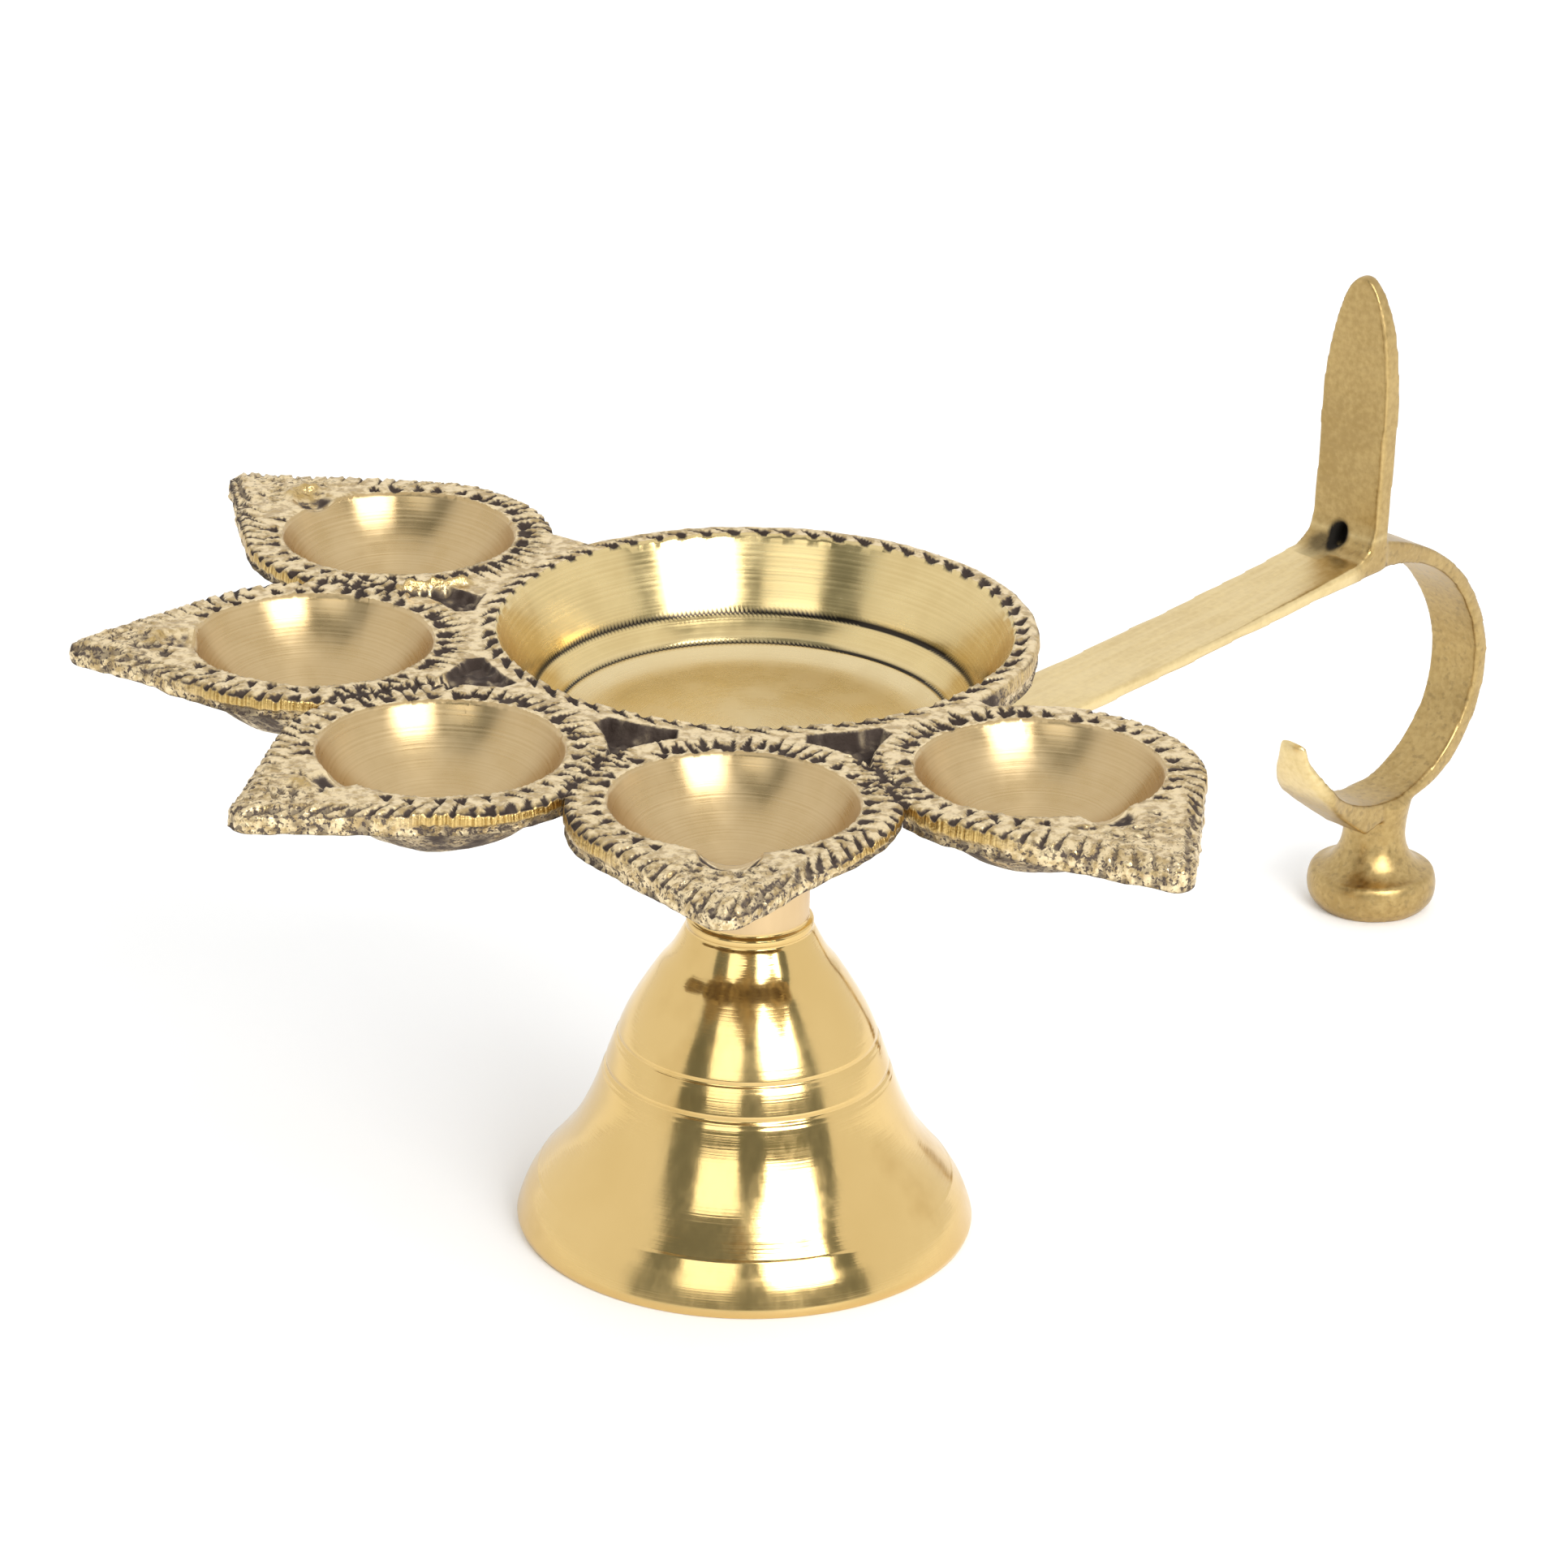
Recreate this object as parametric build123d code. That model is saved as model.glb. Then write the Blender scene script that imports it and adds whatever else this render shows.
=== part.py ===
"""Five-flame brass aarti lamp: a cast tray of five wick cups round an oil bowl, on a turned bell stand.

The tray and the cast finger handle are clamped to the stand by one screw, which passes up through the
stand's neck and the handle's eye into a blind boss under the bowl.
Frame: origin at the centre of the stand's foot ring on the table, +Z up, +X towards the handle.
"""

import math
import os

from build123d import *

# ---- heights on the lamp's axis ----
RIM_Z = 63.2  # top of the tray above the table
EYE_TOP_Z = 43.0  # boss rests on the handle's eye here
EYE_T = 1.5  # thickness of the handle's eye
NECK_TOP_Z = EYE_TOP_Z - EYE_T
ROOF_Z = 26.6  # ceiling inside the bell, where the screw bears

# ---- oil bowl ----
BOWL_R = 25.0
BOWL_DEPTH = 10.5
BOWL_WALL_R = 21.25  # radius at which the straight wall meets the curved corner
BOWL_WALL_DEPTH = 6.8
BOWL_FLOOR_R = 15.0  # radius of the flat floor
RIM_R = 27.3  # outside of the bowl's rim band
WALL = 1.9
GROOVE_W = 0.7
BOWL_GROOVES = ((21.25, 6.8), (19.1, 9.2))  # radius, depth below the rim

# ---- wick cups and their leaves ----
CUP_COUNT = 5
CUP_RING_R = 42.45  # from the lamp's axis to each cup's axis
CUP_PITCH = 40.3  # degrees from one cup to the next
FAN_CENTRE = 179.0  # direction of the middle leaf
CUP_R = 11.6
CUP_DEPTH = 7.5
CUP_WALL = 1.7
LEAF_R = 15.3
LEAF_TIP_R = 2.0
LEAF_T = (1.9, 2.1, 2.3, 2.2, 2.6)
LEAF_REACH = (66.6, 65.3, 65.6, 66.0, 67.3)  # lamp's axis to each leaf's tip, before it is turned by its lean
LEAF_LEAN = (-11.0, -3.5, -7.5, 1.0, -8.5)  # degrees that each leaf points off its radius, about its cup's axis
BAND_T = 2.8
WICK_NOTCH_DEPTH = (0.9, 0.9, 0.9, 1.7, 1.1)
WICK_NOTCH_R = 3.6
BRIDGE_W = (18.0, 12.0, 12.0, 12.0, 12.0)  # cast land between the bowl's band and each leaf
WEB_TOP_Z = RIM_Z - 1.6  # floor of the pockets between bowl and leaves
WEB_T = 2.2

# ---- clamp screw and its hardware ----
SCREW_R = 2.5
SCREW_HOLE_R = 2.75
BOSS_R = 6.5
TAPPED_DEPTH = 7.6
SCREW_TIP_Z = 50.0
HEAD_R = 4.6
HEAD_H = 3.4
HEAD_EDGE = 0.5
SLOT_W = 1.2
SLOT_DEPTH = 1.5
PLAIN_WASHER_R = 5.0
PLAIN_WASHER_T = 1.0
LOCK_WASHER_R = 4.4
LOCK_WASHER_T = 1.3
LOCK_GAP = 0.8
WASHER_HOLE_R = 2.65

# ---- bell stand ----
FOOT_R = 22.6
FOOT_WALL = 1.8  # width of the rim that stands on the table
FOOT_EDGE = 0.4
FOOT_BAND = (20.5, 5.3)  # radius and height of the crease above the foot band
NECK_R = 5.8
COLLAR_R = 6.2  # low turned collar where the neck meets the bell
COLLAR_Z = 32.0
COLLAR_H = 1.0
BELL_TOP = (6.5, 31.2)
ROOF_R = 5.6
STAND_GROOVES = ((12.75, 20.4), (14.1, 17.1))  # pairs of engraved lines: radius, height
GROOVE_GAP = 0.42  # from the middle of a pair to each of its lines

# ---- finger handle ----
STRAP_W = 8.6
EYE_R = 6.5
STRAP_T = 1.4
JUNCTION_X = 95.0
BLADE_TOP_Z = 76.2
BLADE_SHOULDER_Z = 61.0
BLADE_FRONT_X = 94.3
BLADE_T = 2.3
TOE_X = 105.2  # axis of the handle's foot
TOE_R = 7.1
TOE_NECK_R = 3.5
ROLL = 2.2  # degrees that the arm leans about its strap
VOID_PLACE = (94.0, 0.2, 46.9)  # blind pit where the blade rises from the strap
VOID_W = 1.5
VOID_H = 2.6
VOID_DEPTH = 1.6
VOID_TILT = 35.0  # degrees that the pit's mouth faces up from level
ARM_START_X = 9.0


def turned(outline):
    """Solid of revolution about Z from a closed outline drawn as (radius, height)."""
    return revolve(Plane.XZ * make_face(outline), Axis.Z)


def closed(points):
    """Closed outline of straight sides."""
    return Polyline(*points, close=True)


def bead(radius, height, thickness):
    """Ring of round section, used to cut an engraved line."""
    return Pos(0, 0, height) * Torus(radius, thickness / 2)


def spherical_dish(rim_r, depth, offset=0.0):
    """Ball whose lower cap is a dish of the given rim and depth below z = 0."""
    ball_r = (rim_r**2 + depth**2) / (2 * depth)
    return Pos(0, 0, ball_r - depth) * Sphere(ball_r + offset)


def half_space_above(z, size=200.0):
    """Block that fills everything above a height."""
    return Pos(0, 0, z + size / 2) * Box(size, size, size)


def bowl_section(offset):
    """Wall, rounded corner and floor of the bowl as one line, moved outwards by offset."""
    slope = math.atan2(BOWL_WALL_DEPTH, BOWL_R - BOWL_WALL_R)
    normal = (math.sin(slope), -math.cos(slope))
    rise = BOWL_DEPTH - BOWL_WALL_DEPTH
    corner_r = rise / (1 - math.cos(slope))
    centre_r = BOWL_WALL_R - corner_r * normal[0]
    centre_z = RIM_Z - BOWL_WALL_DEPTH - corner_r * normal[1]
    bend_r = corner_r + offset
    bend = (centre_r + bend_r * normal[0], centre_z + bend_r * normal[1])
    climb = (RIM_Z - bend[1]) / math.tan(slope)
    wall = Line((bend[0] + climb, RIM_Z), bend)
    corner = RadiusArc(bend, (centre_r, centre_z - bend_r), bend_r)
    return [wall, corner]


def bowl_solid(offset):
    """Everything inside the bowl's wall line, up to the rim plane."""
    section = bowl_section(offset)
    floor_end = section[-1] @ 1
    rim_end = section[0] @ 0
    floor_z = floor_end.Y
    sides = Polyline(floor_end, (0, floor_z), (0, RIM_Z), rim_end)
    return turned([*section, sides])


def leaf_frame(index):
    """Placement of one cup's axis, with its own +X pointing away from the lamp's axis."""
    angle = FAN_CENTRE + (index - (CUP_COUNT - 1) / 2) * CUP_PITCH
    return Rot(0, 0, angle) * Pos(CUP_RING_R, 0, 0)


def leaf_outline(reach):
    """Leaf shape round a cup: a round band drawn out to a small rounded tip."""
    with BuildSketch() as sketch:
        Circle(LEAF_R)
        with Locations((reach - CUP_RING_R - LEAF_TIP_R, 0)):
            Circle(LEAF_TIP_R)
        make_hull()
    return sketch.sketch


def leaf(index):
    """One leaf plate with the shell of its cup under it, not yet hollowed."""
    thick = LEAF_T[index]
    plate = Pos(0, 0, RIM_Z - thick) * extrude(leaf_outline(LEAF_REACH[index]), thick)
    plate = Rot(0, 0, LEAF_LEAN[index]) * plate
    shell = Pos(0, 0, RIM_Z) * spherical_dish(CUP_R, CUP_DEPTH, CUP_WALL)
    shell -= half_space_above(RIM_Z)
    bridge_end = CUP_RING_R - BOWL_R - 1.0
    bridge = Pos(-bridge_end / 2, 0, RIM_Z - thick / 2) * Box(bridge_end, BRIDGE_W[index], thick)
    return leaf_frame(index) * (plate + shell + bridge)


def cup_hollow(index):
    """Turned inside of a cup and the notch in its lip where the wick lies."""
    hollow = Pos(0, 0, RIM_Z) * spherical_dish(CUP_R, CUP_DEPTH)
    depth = WICK_NOTCH_DEPTH[index]
    notch = Pos(CUP_R, 0, RIM_Z + WICK_NOTCH_R - depth) * Sphere(WICK_NOTCH_R)
    return leaf_frame(index) * (hollow + Rot(0, 0, LEAF_LEAN[index]) * notch)


def web():
    """Sunk plate that ties the leaves to the bowl between the bridges."""
    half_fan = math.radians(CUP_PITCH * (CUP_COUNT - 1) / 2)
    inner = BOWL_WALL_R + 1.5
    outer = CUP_RING_R * math.cos(math.radians(CUP_PITCH / 2)) - 2.0
    first, last = -half_fan, half_fan
    outline = [
        CenterArc((0, 0), inner, math.degrees(first), math.degrees(last - first)),
        CenterArc((0, 0), outer, math.degrees(first), math.degrees(last - first)),
    ]
    outline += [Line(outline[0] @ 0, outline[1] @ 0), Line(outline[0] @ 1, outline[1] @ 1)]
    plate = extrude(make_face(outline), WEB_T)
    return Rot(0, 0, FAN_CENTRE) * Pos(0, 0, WEB_TOP_Z - WEB_T) * plate


def tray():
    """The casting: bowl, boss, five leaves with cups, and the sunk webs."""
    rim_band = Pos(0, 0, RIM_Z - BAND_T / 2) * Cylinder(RIM_R, BAND_T)
    body = bowl_solid(WALL) + rim_band + web()
    underside_z = RIM_Z - BOWL_DEPTH - WALL
    boss_root_r = BOSS_R + 2.5
    boss = closed(
        [
            (0, EYE_TOP_Z),
            (BOSS_R, EYE_TOP_Z),
            (BOSS_R + 0.4, underside_z - 2.5),
            (boss_root_r, underside_z + 0.5),
            (0, underside_z + 0.5),
        ]
    )
    body += turned(boss)
    for index in range(CUP_COUNT):
        body += leaf(index)
    for index in range(CUP_COUNT):
        body -= cup_hollow(index)
    body -= bowl_solid(0)
    for radius, depth in BOWL_GROOVES:
        body -= bead(radius, RIM_Z - depth, GROOVE_W)
    tapped_hole = Cylinder(SCREW_HOLE_R, TAPPED_DEPTH, align=(Align.CENTER, Align.CENTER, Align.MIN))
    return body - Pos(0, 0, EYE_TOP_Z) * tapped_hole


def stand():
    """Turned bell, hollow underneath, with a solid neck drilled for the screw."""
    outside = [
        Line((NECK_R, NECK_TOP_Z), (NECK_R, COLLAR_Z + COLLAR_H)),
        Polyline(
            (NECK_R, COLLAR_Z + COLLAR_H),
            (COLLAR_R, COLLAR_Z + COLLAR_H - 0.3),
            (COLLAR_R + 0.1, COLLAR_Z),
            (COLLAR_R - 0.1, COLLAR_Z - 0.2),
            BELL_TOP,
        ),
        Spline(BELL_TOP, (9.3, 27.0), (11.7, 23.0), (13.4, 19.0), (15.55, 13.0), (17.6, 9.0), FOOT_BAND),
        Spline(FOOT_BAND, (21.8, 3.2), (FOOT_R, 1.0)),
        Line((FOOT_R, 1.0), (FOOT_R, FOOT_EDGE)),
        RadiusArc((FOOT_R, FOOT_EDGE), (FOOT_R - FOOT_EDGE, 0.0), FOOT_EDGE),
    ]
    rim = (FOOT_R - FOOT_WALL, 0.0)
    roof = (ROOF_R, ROOF_Z)
    inside = [
        Line((FOOT_R - FOOT_EDGE, 0.0), rim),
        Spline(rim, (20.1, 2.6), (18.6, 5.0), (15.8, 8.9), (13.8, 13.0), (11.6, 19.0), (9.6, 22.8), roof),
        Polyline(roof, (SCREW_HOLE_R, ROOF_Z), (SCREW_HOLE_R, NECK_TOP_Z), (NECK_R, NECK_TOP_Z)),
    ]
    body = turned([*outside, *inside])
    for radius, height in STAND_GROOVES:
        body -= bead(radius + 0.08, height + GROOVE_GAP, 0.5)
        body -= bead(radius + 0.42, height - GROOVE_GAP, 0.5)
    return body - bead(8.4, 28.6, 0.4)


def clamp_screw():
    """Slotted cheese-head screw, its thread drawn as a plain shank."""
    bearing_z = ROOF_Z - PLAIN_WASHER_T - LOCK_WASHER_T
    lead_in = 0.6
    outline = closed(
        [
            (0, bearing_z - HEAD_H),
            (HEAD_R - HEAD_EDGE, bearing_z - HEAD_H),
            (HEAD_R, bearing_z - HEAD_H + HEAD_EDGE),
            (HEAD_R, bearing_z),
            (SCREW_R, bearing_z),
            (SCREW_R, SCREW_TIP_Z - lead_in),
            (SCREW_R - lead_in, SCREW_TIP_Z),
            (0, SCREW_TIP_Z),
        ]
    )
    slot = Pos(0, 0, bearing_z - HEAD_H + SLOT_DEPTH / 2) * Box(3 * HEAD_R, SLOT_W, SLOT_DEPTH)
    return turned(outline) - slot


def plain_washer():
    """Flat washer against the bell's ceiling."""
    ring = Cylinder(PLAIN_WASHER_R, PLAIN_WASHER_T) - Cylinder(WASHER_HOLE_R, PLAIN_WASHER_T)
    return Pos(0, 0, ROOF_Z - PLAIN_WASHER_T / 2) * ring


def lock_washer():
    """Split spring washer, pressed flat under the screw's head."""
    ring = Cylinder(LOCK_WASHER_R, LOCK_WASHER_T) - Cylinder(WASHER_HOLE_R, LOCK_WASHER_T)
    split = Pos(LOCK_WASHER_R, 0, 0) * Rot(30, 0, 0) * Box(2 * LOCK_WASHER_R, LOCK_GAP, 4 * LOCK_WASHER_T)
    return Pos(0, 0, ROOF_Z - PLAIN_WASHER_T - LOCK_WASHER_T / 2) * (ring - split)


def slab(outline, width):
    """Side view drawn as (x, z), given a width about the handle's middle plane."""
    return extrude(Plane.XZ * make_face(outline), width / 2, both=True)


def strap():
    """Thin bar from the eye out to the foot of the blade."""
    top = Spline((ARM_START_X, EYE_TOP_Z), (50.0, 43.1), (79.0, 44.3), (JUNCTION_X + 1.0, 45.6))
    under = Spline(
        (ARM_START_X, EYE_TOP_Z - EYE_T),
        (50.0, 43.1 - STRAP_T),
        (79.0, 44.3 - STRAP_T),
        (JUNCTION_X + 1.0, 43.4),
    )
    return slab([top, Line(top @ 1, under @ 1), under, Line(under @ 0, top @ 0)], STRAP_W)


def blade():
    """Upright thumb rest: a flat tongue with a round end, thinned towards its top."""
    foot_z = 43.6
    side = Polyline(
        (BLADE_FRONT_X - 2.6, foot_z),
        (BLADE_FRONT_X - 2.6, foot_z + 1.6),
        (BLADE_FRONT_X - 0.7, 46.3),
        (BLADE_FRONT_X, 48.6),
        (BLADE_FRONT_X - 0.5, BLADE_TOP_Z),
        (BLADE_FRONT_X + 0.9, BLADE_TOP_Z),
        (BLADE_FRONT_X + BLADE_T - 0.5, BLADE_TOP_Z - 6.0),
        (BLADE_FRONT_X + BLADE_T, BLADE_SHOULDER_Z),
        (BLADE_FRONT_X + BLADE_T, foot_z),
        close=True,
    )
    dome = Pos(0, BLADE_SHOULDER_Z) * Ellipse(STRAP_W / 2, BLADE_TOP_Z - BLADE_SHOULDER_Z)
    shaft_h = BLADE_SHOULDER_Z - foot_z
    shaft = Pos(0, foot_z + shaft_h / 2) * Rectangle(STRAP_W, shaft_h)
    front = extrude(Plane.YZ.offset(BLADE_FRONT_X - 5) * (dome + shaft), 12)
    return slab(side, STRAP_W) & front


def finger_ring():
    """Open ring that a finger goes through, ending in a hook; narrower at its bottom."""
    outer = Spline(
        (BLADE_FRONT_X + 1.0, 47.0),
        (106.2, 42.9),
        (115.0, 35.5),
        (119.0, 26.5),
        (117.4, 18.6),
        (110.1, 13.0),
    )
    hook_back = Spline((99.6, 10.6), (94.5, 14.3), (89.6, 19.6), (88.0, 23.6))
    tip = ThreePointArc((88.0, 23.6), (88.4, 24.4), (89.2, 23.9))
    inner = Spline(
        (89.2, 23.9),
        (92.0, 18.6),
        (98.5, 14.5),
        (107.4, 13.7),
        (114.6, 18.2),
        (117.2, 26.3),
        (114.2, 34.0),
        (106.4, 40.8),
        (BLADE_FRONT_X + 1.0, 43.5),
    )
    side = [
        outer,
        Line(outer @ 1, hook_back @ 0),
        hook_back,
        tip,
        inner,
        Line(inner @ 1, outer @ 0),
    ]
    half_front = [(4.3, 48), (3.4, 34), (2.9, 16), (2.9, 9)]
    front = closed(half_front + [(-half_width, height) for half_width, height in reversed(half_front)])
    front_cut = extrude(Plane.YZ.offset(80) * make_face(front), 45)
    with BuildSketch() as plan:
        with Locations((98, 0), (125, 0)):
            Circle(5)
        with Locations((89.6, 0)):
            Circle(1.6)
        make_hull()
    plan_cut = extrude(plan.sketch, 60)
    return slab(side, STRAP_W) & front_cut & plan_cut


def casting_void():
    """Small oval pit left by the casting in the corner between strap and blade."""
    mouth = Pos(*VOID_PLACE) * Rot(0, VOID_TILT, 0) * Rot(0, -90, 0)
    return mouth * Pos(0, 0, -VOID_DEPTH) * extrude(Ellipse(VOID_H / 2, VOID_W / 2), 2 * VOID_DEPTH)


def toe():
    """Small turned foot under the ring, which keeps the handle's weight off the clamp."""
    outline = [
        Polyline((0, 13.4), (0, 0), (TOE_R - 1.1, 0), (TOE_R - 0.3, 1.0)),
        Spline((TOE_R - 0.3, 1.0), (TOE_R, 2.3), (TOE_R - 0.4, 4.3)),
        Spline((TOE_R - 0.4, 4.3), (4.4, 5.6), (TOE_NECK_R, 7.6), (TOE_NECK_R, 10.2), (3.9, 12.6)),
        Polyline((3.9, 12.6), (2.8, 13.4), (0, 13.4)),
    ]
    lean = math.tan(math.radians(ROLL)) * (EYE_TOP_Z - TOE_R)
    return Pos(TOE_X, lean, 0) * turned(outline)


def handle():
    """The second casting: eye, strap, thumb blade, finger ring and foot."""
    arm = strap() + blade() + finger_ring() - casting_void()
    roll_axis = Pos(0, 0, EYE_TOP_Z)
    arm = roll_axis * Rot(ROLL, 0, 0) * roll_axis.inverse() * arm
    eye = Pos(0, 0, NECK_TOP_Z + EYE_T / 2) * Cylinder(EYE_R, EYE_T)
    eye += Pos(ARM_START_X / 2 + 0.5, 0, NECK_TOP_Z + EYE_T / 2) * Box(ARM_START_X + 1, STRAP_W, EYE_T)
    eye -= Pos(0, 0, NECK_TOP_Z) * Cylinder(SCREW_HOLE_R, 4 * EYE_T)
    return arm + eye + toe()


NODES = {
    "tray": tray,
    "handle": handle,
    "stand": stand,
    "clamp_screw": clamp_screw,
    "plain_washer": plain_washer,
    "lock_washer": lock_washer,
}

os.makedirs("parts", exist_ok=True)
for name, make in NODES.items():
    export_step(make(), f"parts/{name}.step")
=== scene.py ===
"""Looks for the five-wick brass aarti lamp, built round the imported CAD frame.

Shapes are worked out in millimetres and written in metres. The tray is one closed mesh: a finely divided
plan is lifted to the casting's top and underside, and its chisel cuts, file marks and sand skin are geometry.
"""

import itertools
import math

import bmesh
import bpy
import numpy as np
from mathutils import Matrix, Vector
from mathutils.geometry import delaunay_2d_cdt


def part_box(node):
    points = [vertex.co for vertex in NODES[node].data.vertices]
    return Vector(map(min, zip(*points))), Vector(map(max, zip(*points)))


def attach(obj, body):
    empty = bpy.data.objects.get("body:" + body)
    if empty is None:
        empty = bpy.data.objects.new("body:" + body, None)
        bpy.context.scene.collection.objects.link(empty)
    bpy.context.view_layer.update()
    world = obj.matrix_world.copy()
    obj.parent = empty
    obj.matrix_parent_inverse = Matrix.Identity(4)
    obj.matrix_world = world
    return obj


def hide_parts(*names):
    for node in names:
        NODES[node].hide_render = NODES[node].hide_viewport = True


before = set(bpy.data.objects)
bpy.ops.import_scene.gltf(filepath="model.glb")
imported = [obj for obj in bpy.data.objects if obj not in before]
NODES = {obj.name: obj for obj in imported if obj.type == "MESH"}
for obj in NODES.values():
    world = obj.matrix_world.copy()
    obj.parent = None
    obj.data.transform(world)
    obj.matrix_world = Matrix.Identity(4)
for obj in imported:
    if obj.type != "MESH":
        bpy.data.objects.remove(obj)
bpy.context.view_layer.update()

MM = 0.001

# ---- sizes the tray shares with the CAD, in mm ----
RIM_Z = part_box("tray")[1].z / MM
BOSS_FACE_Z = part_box("tray")[0].z / MM
CUP_COUNT = 5
CUPS = range(CUP_COUNT)
CUP_RING_R = 42.45
CUP_PITCH = 40.3
FAN_CENTRE = 179.0
CUP_R = 11.6
CUP_DEPTH = 7.5
CUP_WALL = 1.7
LEAF_R = 15.3
LEAF_TIP_R = 2.0
LEAF_T = (1.9, 2.1, 2.3, 2.2, 2.6)
LEAF_REACH = (66.6, 65.3, 65.6, 66.0, 67.3)
LEAF_LEAN = (-11.0, -3.5, -7.5, 1.0, -8.5)
BAND_T = 2.8
WICK_NOTCH_DEPTH = (0.9, 0.9, 0.9, 1.7, 1.1)
WICK_NOTCH_R = 3.6
WICK_NOTCH_DRAW = 1.4  # how far the notch is drawn out towards the leaf's tip
WICK_NOTCH_REACH = (3.4, 3.4, 3.2, 5.4, 3.4)
BRIDGE_W = (18.0, 12.0, 12.0, 12.0, 12.0)
BRIDGE_FROM = -16.5  # along a leaf from its cup's centre, inside the bowl's band
BRIDGE_TO = -4.0
WEB_DROP = 1.6
WEB_T = 2.2
RIM_R = 27.3
BOWL_R = 25.0
BOWL_WALL_R = 21.25
BOWL_WALL_DEPTH = 6.8
BOWL_DEPTH = 10.5
BOWL_WALL_T = 1.9
BOWL_GROOVES = (21.25, 19.1)
BOSS_R = 6.5
TAPPED_R = 2.75
TAPPED_DEPTH = 7.6
WEB_HALF = math.radians(CUP_PITCH * (CUP_COUNT - 1) / 2)  # radians each side of the fan's centre
WEB_INNER_R = BOWL_WALL_R + 1.5
WEB_OUTER_R = CUP_RING_R * math.cos(math.radians(CUP_PITCH / 2)) - 2.0

# ---- what only the visible casting has, in mm ----
WICK_RIDGE = (0.75, 0.40, 0.45, 0.0, 0.1)  # metal raised beyond each notch
RIDGE_HALF = (1.25, 0.95, 0.95, 0.95, 0.95)
FULL_POCKET = 0.45  # the two pockets on the far side are partly filled with metal
POCKET_R = 31.5  # from the lamp's axis to the middle of a pocket
FLUTES_TO = (1.5, 0.63, 0.63, 0.63, 0.63)  # how far round the flutes beside the bowl go, in radians
FLUTE_STEP = 0.098  # radians
LIP_CUT_STEP = 2.3
LIP_CUT_GAP = 0.42  # radians each side of the wick notch
EDGE_CUT_STEP = 1.75
JOIN_CUT_STEP = 1.15
TIP_CUTS = 20
RIM_CUTS = 60
GROOVE_DEPTH = 0.24
GROOVE_HALF = 0.21
TOUCH = 0.01  # nearer than this to a turned edge counts as on it

# ---- how finely the tray is divided, in mm ----
FINE = 0.23
COARSE = 0.9
WALL_ROWS = 9

# ---- camera: it stands off the lamp on the leaves' side, a long lens looking a little down ----
CAMERA_TURN = -48.5  # degrees round the lamp from looking along +Y
CAMERA_RISE = 21.776
CAMERA_FAR = 0.6354  # metres
CAMERA_PITCH = 23.139
CAMERA_YAW = 0.295
CAMERA_ROLL = 1.22
LENS_MM = 151.9
SENSOR_MM = 36.0

# ---- studio ----
SOFTBOX_FAR = 1.3  # metres
DARK_TURN = 3.5  # degrees from the camera's side to the middle of the dark gap
DARK_HALF = 60.0
DARK_TOP = 65.0
WORLD_WHITE = (1.07, 1.07, 1.07)
WORLD_DARK = (0.24, 0.26, 0.25)
FLOOR_HALF = 4.0  # metres
FLOOR_GLOW = 0.07

# ---- stand and handle, in mm ----
STAND_LINES = (  # engraved lines: height, depth, half width
    (20.32, 0.17, 0.20),
    (19.86, 0.07, 0.12),
    (17.05, 0.19, 0.22),
    (16.52, 0.07, 0.12),
    (32.95, 0.10, 0.12),
    (31.85, 0.12, 0.12),
)
STAND_SEGMENTS = 256
VOXEL = 0.26  # the handle's grid when its edges are eased
EASE_ROUNDS = 7
TIP_ROUNDS = 30
HOOK_WIDER = 0.4  # share added to the hook's width at its tip

# ---- grime and painted shade ----
GRIME_AND_SHADE_COLOUR = (0.085, 0.062, 0.048)
DEEP_GRIME_AND_SHADE_COLOUR = (0.035, 0.022, 0.016)


# ======== numbers and noise


def smooth(value):
    """Smooth step of a value from 0 to 1."""
    value = np.clip(value, 0, 1)
    return value * value * (3 - 2 * value)


def noise(points, pitch, seed):
    """Smooth noise from -1 to 1 with features about one pitch across, for points in rows."""
    table = np.random.default_rng(seed).uniform(-1, 1, 4096)
    scaled = points / pitch
    cell = np.floor(scaled).astype(np.int64)
    blend = smooth(scaled - cell)
    total = np.zeros(len(points))
    for corner in itertools.product((0, 1), repeat=points.shape[1]):
        key = ((cell + corner) * (73856093, 19349663, 83492791)[: points.shape[1]]).sum(1)
        weight = np.where(corner, blend, 1 - blend).prod(1)
        total += weight * table[(key ^ (key >> 9)) & 4095]
    return total


def spread(path, step):
    """Points evenly spaced, about a step apart, round a closed path."""
    path = np.vstack([path, path[:1]])
    run = np.r_[0, np.cumsum(np.hypot(*np.diff(path, axis=0).T))]
    stations = np.linspace(0, run[-1], max(8, round(run[-1] / step)), endpoint=False)
    return np.c_[np.interp(stations, run, path[:, 0]), np.interp(stations, run, path[:, 1])]


def polar(turn, radius):
    """A point in plan from its direction in radians and its distance from the lamp's axis."""
    return np.array([math.cos(turn), math.sin(turn)]) * radius


def ring(radius, step, centre=(0.0, 0.0)):
    """Points evenly spaced on a circle."""
    turn = np.linspace(0, 2 * math.pi, max(8, round(2 * math.pi * radius / step)), endpoint=False)
    return np.c_[np.cos(turn), np.sin(turn)] * radius + centre


# ======== the tray's plan


def cup_turn(index):
    """Direction of a cup's centre from the lamp's axis, in radians."""
    return math.radians(FAN_CENTRE + (index - (CUP_COUNT - 1) / 2) * CUP_PITCH)


def leaf_turn(index):
    """Direction that a leaf points in, in radians: each leans a little off its radius."""
    return cup_turn(index) + math.radians(LEAF_LEAN[index])


def cup_centre(index):
    """Plan position of a cup's axis."""
    return polar(cup_turn(index), CUP_RING_R)


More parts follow.
